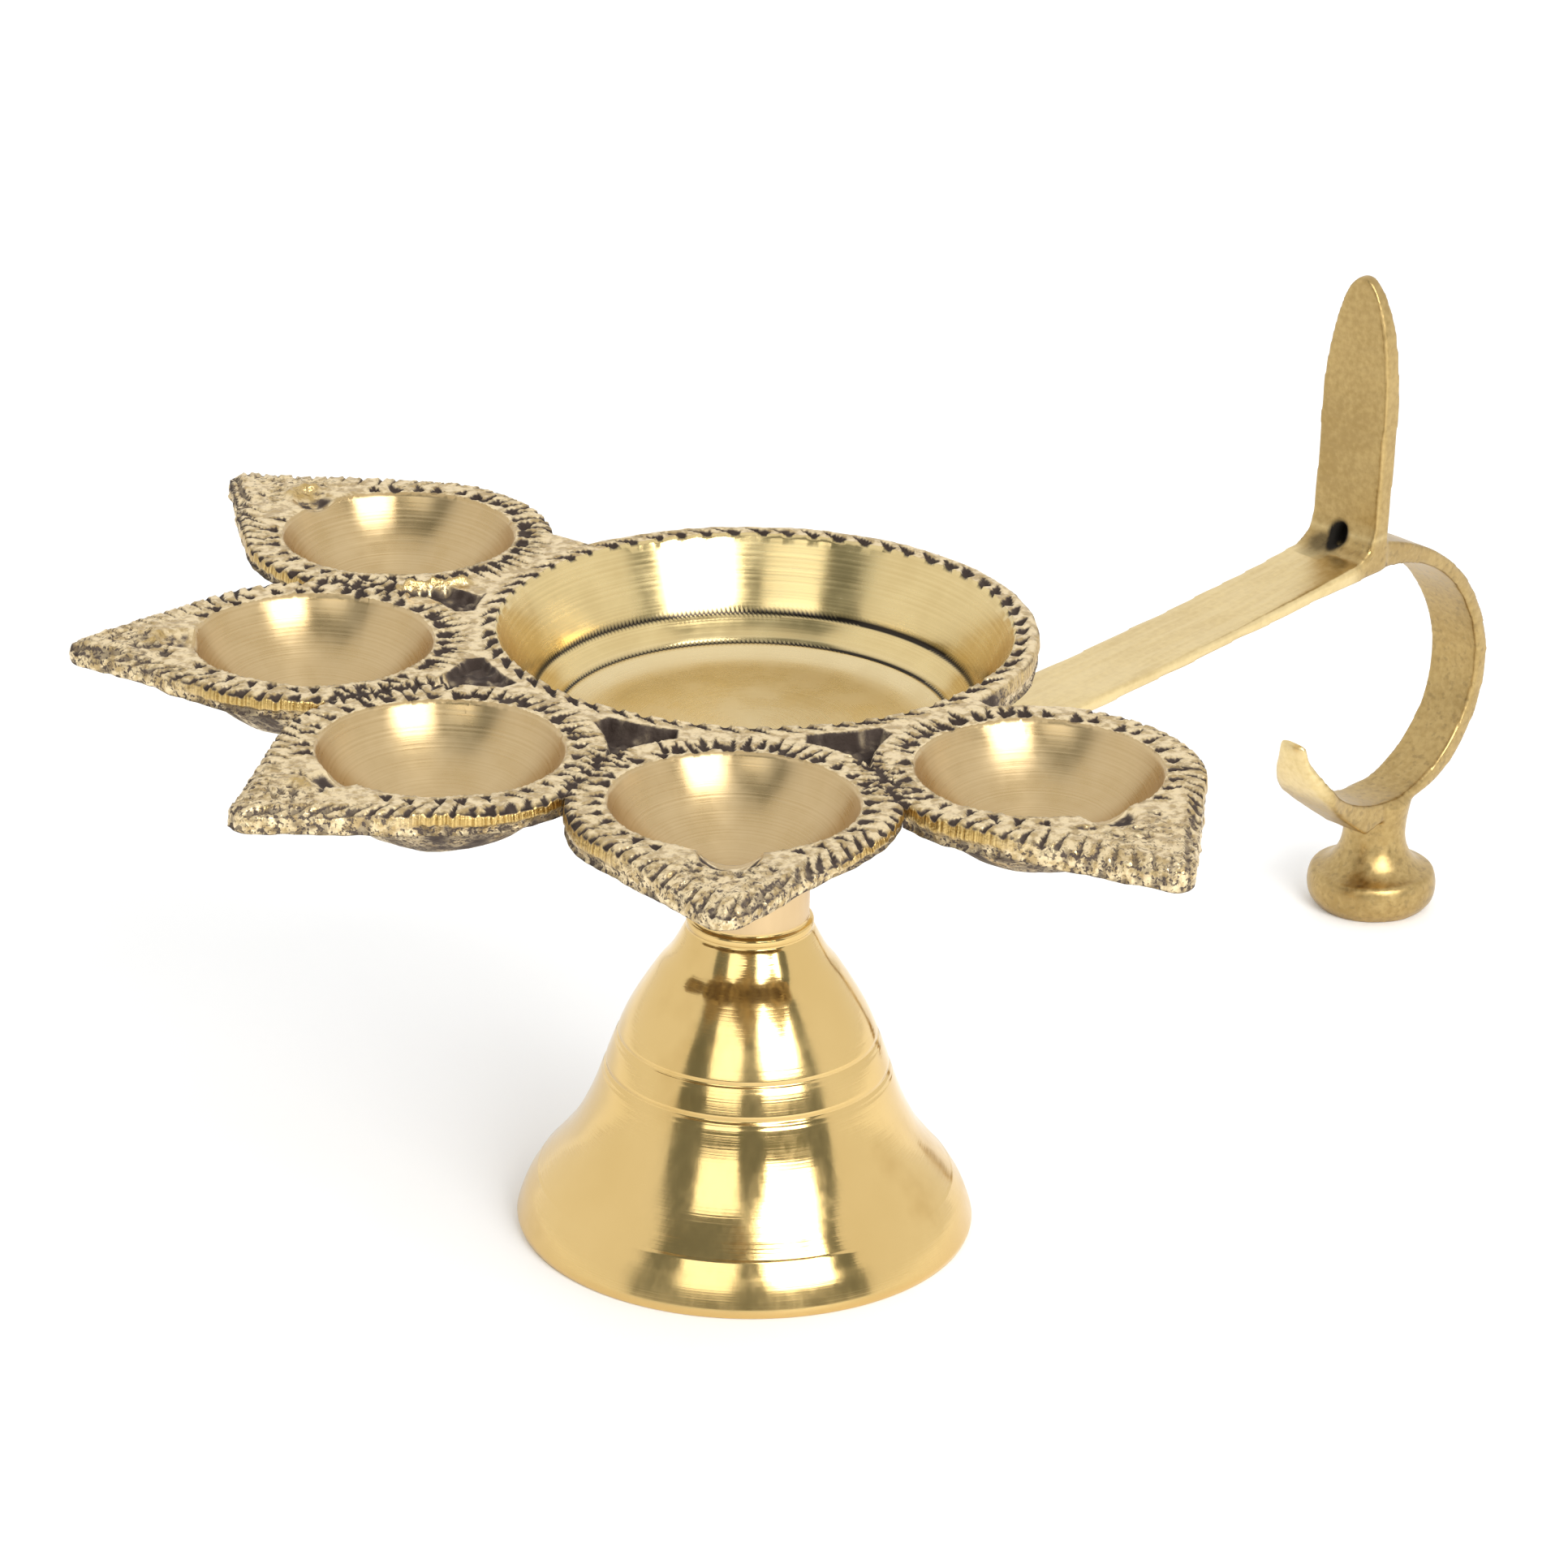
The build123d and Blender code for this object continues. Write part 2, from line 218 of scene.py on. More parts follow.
def to_axes(plan, index, turn):
    """Coordinates from a cup's centre along and across a direction."""
    x, y = (plan - cup_centre(index)).T
    c, s = math.cos(turn), math.sin(turn)
    return x * c + y * s, y * c - x * s


def to_leaf(plan, index):
    """A leaf's own coordinates: along its axis from the cup's centre, and across it."""
    return to_axes(plan, index, leaf_turn(index))


def from_leaf(along, across, index, turn=None):
    """Plan position of a point given in a leaf's own coordinates, or in axes turned another way."""
    turn = leaf_turn(index) if turn is None else turn
    c, s = math.cos(turn), math.sin(turn)
    along, across = np.asarray(along), np.asarray(across)
    return np.c_[along * c - across * s, along * s + across * c] + cup_centre(index)


def leaf_distance(plan, index):
    """Distance outside a leaf's outline, negative inside it."""
    along, across = to_leaf(plan, index)
    across = np.abs(across)
    reach = LEAF_REACH[index] - CUP_RING_R - LEAF_TIP_R
    lean = (LEAF_R - LEAF_TIP_R) / reach
    flat = math.sqrt(1 - lean**2)
    station = flat * along - lean * across
    round_end = np.hypot(along, across) - LEAF_R
    tip_end = np.hypot(along - reach, across) - LEAF_TIP_R
    side = flat * across + lean * along - LEAF_R
    return np.where(station < 0, round_end, np.where(station > flat * reach, tip_end, side))


def leaf_path(index, inset=0.0):
    """Outline of a leaf in plan, as a closed path drawn inside its edge by an inset."""
    reach = LEAF_REACH[index] - CUP_RING_R - LEAF_TIP_R
    swing = math.acos((LEAF_R - LEAF_TIP_R) / reach)
    back = np.linspace(swing, 2 * math.pi - swing, 90)
    tip = np.linspace(-swing, swing, 16)
    back_r, tip_r = LEAF_R - inset, max(LEAF_TIP_R - inset, 0.05)
    along = np.r_[np.cos(back) * back_r, np.cos(tip) * tip_r + reach]
    across = np.r_[np.sin(back) * back_r, np.sin(tip) * tip_r]
    return from_leaf(along, across, index)


def bridge_distance(plan, index):
    """Distance outside the cast land that joins a leaf to the bowl."""
    along, across = to_axes(plan, index, cup_turn(index))
    beyond = np.maximum(along - BRIDGE_TO, BRIDGE_FROM - along)
    return np.maximum(np.abs(across) - BRIDGE_W[index] / 2, beyond)


def land_distance(plan):
    """Distance outside everything that stands at the rim's height."""
    nearest = np.hypot(*plan.T) - RIM_R
    for index in CUPS:
        nearest = np.minimum(nearest, leaf_distance(plan, index))
        nearest = np.minimum(nearest, bridge_distance(plan, index))
    return nearest


def web_path():
    """Outline of the sunk web behind the leaves."""
    turns = math.radians(FAN_CENTRE) + np.linspace(-WEB_HALF, WEB_HALF, 60)
    around = np.c_[np.cos(turns), np.sin(turns)]
    return np.vstack([around * WEB_OUTER_R, around[::-1] * WEB_INNER_R])


def web_distance(plan):
    """Distance outside the web's outer edge and its two ends."""
    radius = np.hypot(*plan.T)
    turn = np.arctan2(plan[:, 1], plan[:, 0]) - math.radians(FAN_CENTRE)
    turn = np.abs((turn + math.pi) % (2 * math.pi) - math.pi)
    return np.maximum(radius - WEB_OUTER_R, radius * np.sin(np.clip(turn - WEB_HALF, -1, 1)))


def bridge_path(index):
    """Outline of the land between a leaf and the bowl."""
    along = np.array([BRIDGE_FROM, BRIDGE_TO, BRIDGE_TO, BRIDGE_FROM])
    across = np.array([-1, -1, 1, 1]) * BRIDGE_W[index] / 2
    return from_leaf(along, across, index, cup_turn(index))


def by_hand(path):
    """An outline as a file leaves it: a little uneven along its length."""
    ahead = np.roll(path, -1, 0) - np.roll(path, 1, 0)
    outward = np.c_[ahead[:, 1], -ahead[:, 0]] / np.maximum(np.hypot(*ahead.T), 1e-9)[:, None]
    wander = 0.20 * noise(path, 7.0, 11) + 0.09 * noise(path, 1.7, 12)
    return path + outward * wander[:, None]


# ======== chisel cuts


def leaf_cuts(cuts, index, draw):
    """Cuts on one leaf: a row round the cup's lip, a row along the edge, and flutes towards the bowl."""
    turn0 = leaf_turn(index)
    back = math.pi - math.radians(LEAF_LEAN[index])
    lip_r = CUP_R + 1.15
    count = round(2 * math.pi * lip_r / LIP_CUT_STEP)
    for k in range(count):
        turn = 2 * math.pi * (k + draw(-0.2, 0.2)) / count
        if min(turn, 2 * math.pi - turn) < LIP_CUT_GAP:
            continue
        radius = lip_r + draw(-0.2, 0.25)
        place = from_leaf(radius * math.cos(turn), radius * math.sin(turn), index)[0]
        heading = turn0 + turn + math.radians(draw(-4, 34))
        cuts.append((*place, heading, draw(1.6, 2.4), draw(1.0, 1.5), draw(0.32, 0.55)))
    edge = spread(leaf_path(index, 0.5), EDGE_CUT_STEP)
    inward = cup_centre(index) - edge
    for place, aim in zip(edge, inward):
        along, _ = to_leaf(place[None], index)
        if along[0] < -10.5:
            continue
        near_tip = along[0] > 7.0
        heading = math.atan2(aim[1], aim[0]) + math.radians(draw(-42, -18))
        length = draw(3.0, 4.2) if near_tip else draw(1.3, 1.9)
        width = draw(0.6, 0.85) if near_tip else draw(0.9, 1.3)
        place = place + draw(-0.2, 0.2, 2)
        if near_tip:
            place = place + 0.5 * aim / np.hypot(*aim)
        cuts.append((*place, heading, length, width, draw(0.25, 0.42)))
    for turn in np.arange(back - 0.62, back + FLUTES_TO[index], FLUTE_STEP):
        turn += draw(-0.02, 0.02)
        radius = 13.4 + draw(-0.3, 0.5)
        place = from_leaf(radius * math.cos(turn), radius * math.sin(turn), index)[0]
        heading = turn0 + turn + math.radians(draw(-14, 6))
        cuts.append((*place, heading, draw(2.4, 3.8), draw(0.75, 1.05), draw(0.3, 0.5)))
    for _ in range(TIP_CUTS):
        along, across = draw(13.5, 19.5), draw(-4.5, 4.5)
        if abs(across) > 0.5 * (23.0 - along):
            continue
        place = from_leaf(along, across, index)[0]
        heading = turn0 + math.radians(draw(-150, -100))
        cuts.append((*place, heading, draw(1.3, 2.4), draw(0.5, 0.9), draw(0.2, 0.4)))


def join_cuts(cuts, draw):
    """Long thin strokes over the land where two leaves meet, laid side by side."""
    for index in range(CUP_COUNT - 1):
        middle = (cup_turn(index) + cup_turn(index + 1)) / 2
        for station in np.arange(33.0, 43.5, JOIN_CUT_STEP):
            for side in (-1, 1):
                turn = middle + side * draw(0.2, 1.6) / station
                place = polar(turn, station + draw(-0.3, 0.3))
                heading = middle + side * math.pi / 2 + math.radians(draw(-30, 10))
                cuts.append((*place, heading, draw(1.6, 2.8), draw(0.55, 0.95), draw(0.3, 0.5)))


def rim_cuts(cuts, draw):
    """Rope-like slanting cuts round the bowl's band."""
    for k in range(RIM_CUTS):
        turn = 2 * math.pi * (k + draw(-0.12, 0.12)) / RIM_CUTS
        place = polar(turn, (BOWL_R + RIM_R) / 2 - 0.45)
        heading = turn + math.radians(draw(54, 66))
        cuts.append((*place, heading, draw(2.5, 3.3), draw(1.05, 1.4), draw(0.4, 0.55)))


def all_cuts():
    """Every cut on the tray: its place, heading, length, width and depth, a wedge that tapers to its end."""
    draw = np.random.default_rng(5).uniform
    cuts = []
    for index in CUPS:
        leaf_cuts(cuts, index, draw)
    join_cuts(cuts, draw)
    rim_cuts(cuts, draw)
    return np.array(cuts)


def cut_depth(plan, cuts):
    """How deep the chisel went at each point, and the burr it raised beside the cut."""
    depth = np.zeros(len(plan))
    burr = np.zeros(len(plan))
    for x, y, heading, length, width, deep in cuts:
        offset = plan - (x, y)
        near = np.nonzero((np.abs(offset) < length + 0.6).all(1))[0]
        if not len(near):
            continue
        c, s = math.cos(heading), math.sin(heading)
        ahead = (offset[near, 0] * c + offset[near, 1] * s) / length + 0.35
        aside = np.abs(offset[near, 1] * c - offset[near, 0] * s)
        half = width / 2 * np.clip(1.05 - ahead, 0.08, 1)
        lengthwise = np.clip(np.minimum((ahead + 0.1) / 0.14, (1 - ahead) * 1.6), 0, 1)
        cut = deep * lengthwise * np.clip(1.15 - aside / half, 0, 1) ** 0.8
        depth[near] = np.maximum(depth[near], cut)
        lip = np.exp(-(((aside - half - 0.12) / 0.16) ** 2)) * np.clip(lengthwise * 2, 0, 1)
        burr[near] = np.maximum(burr[near], 0.09 * lip)
    return depth, burr * (depth < 0.02)


# ======== the tray's two faces


def cup_floor(radius, wall=0.0):
    """Height of a cup's surface against the rim plane; wall thickens it downwards."""
    ball = (CUP_R**2 + CUP_DEPTH**2) / (2 * CUP_DEPTH)
    return ball - CUP_DEPTH - np.sqrt(np.maximum((ball + wall) ** 2 - radius**2, 0))


def bowl_floor(radius, offset=0.0):
    """Height of the bowl's surface against the rim plane: wall, curved corner and floor."""
    slope = math.atan2(BOWL_WALL_DEPTH, BOWL_R - BOWL_WALL_R)
    normal = (math.sin(slope), -math.cos(slope))
    corner_r = (BOWL_DEPTH - BOWL_WALL_DEPTH) / (1 - math.cos(slope))
    centre_r = BOWL_WALL_R - corner_r * normal[0]
    centre_z = -BOWL_WALL_DEPTH - corner_r * normal[1]
    bend_r = corner_r + offset
    bend = (centre_r + bend_r * normal[0], centre_z + bend_r * normal[1])
    out = np.clip(radius - centre_r, 0, bend_r)
    corner = centre_z - np.sqrt(bend_r**2 - out**2)
    wall = bend[1] + (radius - bend[0]) * math.tan(slope)
    return np.where(radius > bend[0], wall, corner)


def cup_radii(plan):
    """Distance of each point from its nearest cup's axis, and which cup that is."""
    radii = np.array([np.hypot(*to_leaf(plan, index)) for index in CUPS])
    return radii.min(0), radii.argmin(0)


def along_leaf(plan, cup):
    """How far each point lies along the axis of the leaf that its nearest cup is in."""
    along = np.zeros(len(plan))
    for index in CUPS:
        along = np.where(cup == index, to_leaf(plan, index)[0], along)
    return along


def wick_scoops(plan):
    """Depth of the wick notches' scoops, how near each point is to a notch, and the ridge beyond it."""
    scoop = np.full(len(plan), 9.0)
    hollow = np.zeros(len(plan))
    ridge = np.zeros(len(plan))
    for index, deep in enumerate(WICK_NOTCH_DEPTH):
        along, across = to_leaf(plan, index)
        away = np.hypot((along - CUP_R) / WICK_NOTCH_DRAW, across)
        ball = WICK_NOTCH_R - deep - np.sqrt(np.maximum(WICK_NOTCH_R**2 - away**2, 0))
        scoop = np.where(away < WICK_NOTCH_R, np.minimum(scoop, ball), scoop)
        hollow = np.maximum(hollow, smooth(-ball / 0.7) * (away < WICK_NOTCH_R) * (along > CUP_R - 0.3))
        beyond = (along - CUP_R - WICK_NOTCH_REACH[index]) / RIDGE_HALF[index]
        ridge = np.maximum(ridge, WICK_RIDGE[index] * np.exp(-(beyond**2) - ((across + 0.8) / 1.9) ** 4))
    return scoop, hollow, ridge


def flash_ridge(plan):
    """The thin lip of casting flash left standing along the first leaf's edge, over its pocket."""
    middle = (cup_turn(0) + cup_turn(1)) / 2
    away = np.hypot(*(plan - polar(middle, POCKET_R)).T)
    lip = np.hypot(*(plan - cup_centre(0)).T) - LEAF_R + 0.2
    return np.exp(-((lip / 0.34) ** 2)) * smooth((5.0 - away) / 1.5)


def tray_top(plan, cuts):
    """Height of the top against the rim plane, with its grime and painted shade, its sand skin and where it
    is golden.
    """
    land = land_distance(plan)
    edge = np.minimum(land, web_distance(plan))
    cup_r, cup = cup_radii(plan)
    axis_r = np.hypot(*plan.T)
    depth, burr = cut_depth(plan, cuts)
    scoop, hollow, ridge = wick_scoops(plan)
    tipward = smooth((along_leaf(plan, cup) - 10.0) / 9.0)
    pocket = smooth((land + 0.1) / 0.7)
    turned_to = np.degrees(np.arctan2(plan[:, 1], plan[:, 0])) % 360
    worms = noise(plan, 0.62, 22)
    grain = 0.07 * noise(plan, 0.95, 21) + 0.09 * worms
    height = -WEB_DROP * pocket * np.where(turned_to < FAN_CENTRE, FULL_POCKET, 1.0)
    height += 0.12 * noise(plan, 5.0, 23) + grain * (0.42 + 0.9 * tipward + 2.6 * pocket)
    height -= (0.22 + 0.4 * tipward) * np.exp(-((edge / (0.35 + 0.5 * tipward)) ** 2))
    ridge = ridge * (0.75 + 0.45 * noise(plan, 0.7, 39))
    ridge = np.maximum(ridge, flash_ridge(plan) * (0.6 + 0.4 * noise(plan, 0.9, 38)))
    height += (burr - depth) * (1 - pocket) + ridge
    height -= 0.08 * (1 - smooth((cup_r - CUP_R) / 0.5)) * (cup_r > CUP_R)
    height = np.where(scoop < 0, np.minimum(height, scoop - 0.25 * depth + 0.6 * grain), height)
    in_cup = cup_r < CUP_R - TOUCH
    height = np.where(in_cup, np.minimum(cup_floor(np.minimum(cup_r, CUP_R)), scoop), height)
    lip = (np.abs(cup_r - CUP_R) <= TOUCH) | (np.abs(axis_r - BOWL_R) <= TOUCH)
    height = np.where(lip & (scoop > 0), np.maximum(height, -0.28), height)
    line = np.zeros(len(plan))
    for radius in BOWL_GROOVES:
        line = np.maximum(line, np.exp(-(((axis_r - radius) / GROOVE_HALF) ** 2)))
    in_bowl = axis_r < BOWL_R - TOUCH
    height = np.where(in_bowl, bowl_floor(axis_r) - GROOVE_DEPTH * line, height)
    machined = in_bowl | in_cup
    # dark in the chisel cuts: grime, and painted shade of the cuts
    cut_grime_shade_and_wear = smooth((depth - 0.03) / 0.10) * (0.9 + 0.1 * noise(plan, 1.3, 31))
    cut_grime_shade_and_wear *= 1 - 0.35 * tipward
    # the sunk pockets and web are darkened: grime, and painted shade in these recesses
    grime_and_shade = np.maximum(cut_grime_shade_and_wear, smooth((land + 0.3) / 0.4) * (0.82 + 0.26 * noise(plan, 0.7, 32)))
    # painted shade: dark pits in the grain and thin dark wrinkles on the tips stand in for the shade of the
    # casting's relief
    pits = smooth(-0.25 - 1.7 * (worms + 0.35 * noise(plan, 0.5, 34)))
    grime_and_shade = np.maximum(grime_and_shade, pits * (0.12 + 0.10 * tipward))
    wrinkles = smooth(1.0 - 6.0 * np.abs(noise(plan, 0.85, 36))) * smooth(0.4 + 1.5 * noise(plan, 2.1, 37))
    grime_and_shade = np.maximum(grime_and_shade, 0.55 * wrinkles * tipward)
    grime_and_shade = np.maximum(grime_and_shade, 0.16 * smooth(noise(plan, 2.3, 33) * 1.5))
    # the wick notches' scoops are darkened
    grime_and_shade = np.maximum(grime_and_shade, 0.95 * hollow * smooth(0.9 + 1.1 * noise(plan, 0.7, 35)))
    clean = np.maximum(np.exp(-(((cup_r - CUP_R) / 0.45) ** 2)), np.clip(burr / 0.06, 0, 1))
    grime_and_shade = grime_and_shade * (1 - 0.85 * clean * (depth < 0.05))
    # in the bowl the dark line along each groove is painted shade
    grime_and_shade = np.where(in_bowl, smooth(line * 4.0 - 1.3), np.where(machined, 0.0, grime_and_shade))
    grime_and_shade = grime_and_shade * (1 - np.clip(ridge * 2.2, 0, 0.8))
    sand = np.where(machined, 0.0, 0.15 + 0.75 * tipward)
    return height, np.clip(grime_and_shade, 0, 1), sand, np.clip(ridge * 2.2, 0, 0.75)


def plate_thickness(plan):
    """Thickness of the cast plate: each leaf has its own, and the band round the bowl is thicker."""
    away = np.array([leaf_distance(plan, index) for index in CUPS])
    nearest = away.argmin(0)
    thick = np.array(LEAF_T)[nearest]
    uneven = 3  # this leaf is thicker on one side
    _, across = to_leaf(plan, uneven)
    thick = np.where(nearest == uneven, thick - 0.07 * np.clip(across, -9, 9), thick)
    return thick + (BAND_T - thick) * (1 - smooth((np.hypot(*plan.T) - 27.0) / 2.5))


def tray_underside(plan):
    """Height of the underside against the rim plane."""
    axis_r = np.hypot(*plan.T)
    plate = -plate_thickness(plan)
    web = web_distance(plan) < 0
    plate = np.where(web & (land_distance(plan) > -1.0), np.minimum(plate, -WEB_DROP - WEB_T), plate)
    for index in CUPS:
        radius = np.hypot(*to_leaf(plan, index))
        shell = np.where(radius < CUP_R + CUP_WALL, cup_floor(radius, CUP_WALL), 0)
        plate = np.minimum(plate, shell)
    bowl = np.where(axis_r < RIM_R, bowl_floor(axis_r, BOWL_WALL_T), 0)
    height = np.minimum(plate, bowl)
    height += 0.12 * noise(plan, 2.4, 41) + 0.07 * noise(plan, 0.9, 42)
    root_z = -BOWL_DEPTH - BOWL_WALL_T
    boss_z = BOSS_FACE_Z - RIM_Z
    radii = [0, BOSS_R, BOSS_R + 0.4, BOSS_R + 2.5]
    boss = np.interp(axis_r, radii, [boss_z, boss_z, root_z - 2.5, root_z + 0.5])
    height = np.where(axis_r < BOSS_R + 2.5, np.minimum(height, boss), height)
    return np.where(axis_r < TAPPED_R, boss_z + TAPPED_DEPTH, height)


def top_points():
    """Plan points for the top: dense on the cast land, rings in the turned cups and bowl."""
    extent = LEAF_REACH[-1] + 2
    row = FINE * math.sqrt(3) / 2
    across = np.arange(-extent, extent, row)
    along = np.arange(-extent, extent, FINE)
    grid = np.stack(np.meshgrid(along, across), -1)
    grid[1::2, :, 0] += FINE / 2
    grid = grid.reshape(-1, 2) + np.random.default_rng(3).uniform(-0.035, 0.035, (grid.size // 2, 2))
    edge = np.minimum(land_distance(grid), web_distance(grid))
    cup_r, _ = cup_radii(grid)
    axis_r = np.hypot(*grid.T)
    wick = np.zeros(len(grid), bool)
    for index in CUPS:
        along, across = to_leaf(grid, index)
        away = np.hypot((along - CUP_R) / WICK_NOTCH_DRAW, across)
        wick |= (away < WICK_NOTCH_R + 0.3) & (np.abs(cup_r - CUP_R) > 0.12)
    cast = (edge < -0.3) & (cup_r > CUP_R + 0.13) & (axis_r > BOWL_R + 0.13)
    points = [grid[cast | (wick & (edge < -0.3))]]
    for index in CUPS:
        centre = cup_centre(index)
        for radius in (CUP_R - 0.25, CUP_R - 0.6, *np.arange(CUP_R - 1.2, 0.3, -0.7)):
            points.append(ring(radius, 0.3 + 0.5 * (CUP_R - radius) ** 0.5, centre))
    for radius in (BOWL_R - 0.25, BOWL_R - 0.6, *np.arange(BOWL_R - 1.2, 0.3, -0.8)):
        if min(abs(radius - groove) for groove in BOWL_GROOVES) > 0.75:
            points.append(ring(radius, 0.3 + 0.4 * (BOWL_R - radius) ** 0.5))
    for groove in BOWL_GROOVES:
        for offset in (-0.7, -0.4, -0.28, -0.2, -0.1, 0, 0.1, 0.2, 0.28, 0.4, 0.7):
            points.append(ring(groove + offset, 0.45))
    return np.vstack(points)


def store(mesh, values):
    """Keeps named numbers on a mesh's points, for its material to read."""
    for name, value in values.items():
        mesh.attributes.new(name, "FLOAT", "POINT").data.foreach_set("value", value.astype(np.float32))


def triangulate(points, outlines):
    """Triangles over everything inside the closed outlines, through all the points."""
    faces, rows, start = [], [], 0
    for outline in outlines:
        faces.append(list(range(start, start + len(outline))))
        rows.append(outline)
        start += len(outline)
    flat = np.vstack([*rows, points])
    found = delaunay_2d_cdt([Vector(p) for p in flat.tolist()], [], faces, 0, 1e-5, True)
    plan = np.array([tuple(v) for v in found[0]])
    inside = np.array([face for face, source in zip(found[2], found[5]) if source])
    used, inside = np.unique(inside, return_inverse=True)
    return plan[used], inside.reshape(-1, 3)


def border(triangles):
    """The outer edge of a triangle mesh as one loop of points, anticlockwise."""
    sides = np.vstack([triangles[:, [0, 1]], triangles[:, [1, 2]], triangles[:, [2, 0]]])
    known = set(map(tuple, sides.tolist()))
    follow = {a: b for a, b in known if (b, a) not in known}
    loops = []
    while follow:
        start = point = next(iter(follow))
        loop = []
        while point in follow:
            loop.append(point)
            point = follow.pop(point)
        loops.append(loop)
    return np.array(max(loops, key=len))


def side_wall(rim, high, low):
    """Rows of points down the casting's edge, from its top to its underside, with what they look like."""
    ahead = np.roll(rim, -2, 0) - np.roll(rim, 2, 0)
    outward = np.c_[ahead[:, 1], -ahead[:, 0]] / np.hypot(*ahead.T)[:, None]
    cup_r, cup = cup_radii(rim)
    along = along_leaf(rim, cup)
    axis_r = np.hypot(*rim.T)
    tipward = smooth((along - 9.0) / 6.0) * (axis_r > 40)
    corner = np.maximum(smooth((46.0 - axis_r) / 3.0), smooth((-7.5 - along) / 2.0))
    corner *= 1 - 0.75 * smooth((cup_r - 17.0) / 5.0)
    clear = (1 - tipward) * (1 - corner)
    points, grime_and_shade, sand, filed = [], [], [], []
    for row in range(1, WALL_ROWS):
        t = row / WALL_ROWS
        z = high + (low - high) * t
        place = np.c_[rim, z]
        lower = smooth((t - 0.48 + 0.06 * noise(rim, 3.0, 55)) / 0.16)
        skin = 0.11 * noise(place, 0.75, 52) + 0.10 * noise(place, 0.46, 53)
        push = 0.14 * math.sin(math.pi * t) - 0.42 * lower * t * clear
        push += skin * (0.12 + 0.75 * lower + 1.0 * tipward + 0.6 * corner)
        points.append(np.c_[rim + outward * push[:, None], z])
        pits = smooth(0.25 - 9.0 * skin)
        # the lower, sand-skinned wall and the tips: grime, with painted shade in the skin's pits
        dark_grime_and_shade = np.maximum(lower * clear * (0.28 + 0.30 * pits), tipward * (0.10 + 0.42 * pits))
        # inner corners by the bowl and behind the cups: grime, and painted shade in these corners
        dark_grime_and_shade = np.maximum(dark_grime_and_shade, corner * (0.80 + 0.2 * noise(place, 1.0, 54)))
        # darker towards the bottom edge
        grime_and_shade.append(np.clip(dark_grime_and_shade + 0.2 * smooth(t * 4 - 3), 0, 1))
        sand.append(0.15 + 0.85 * np.maximum(np.maximum(tipward, corner), lower))
        filed.append(clear * (1 - lower))
    return points, grime_and_shade, sand, filed, clear


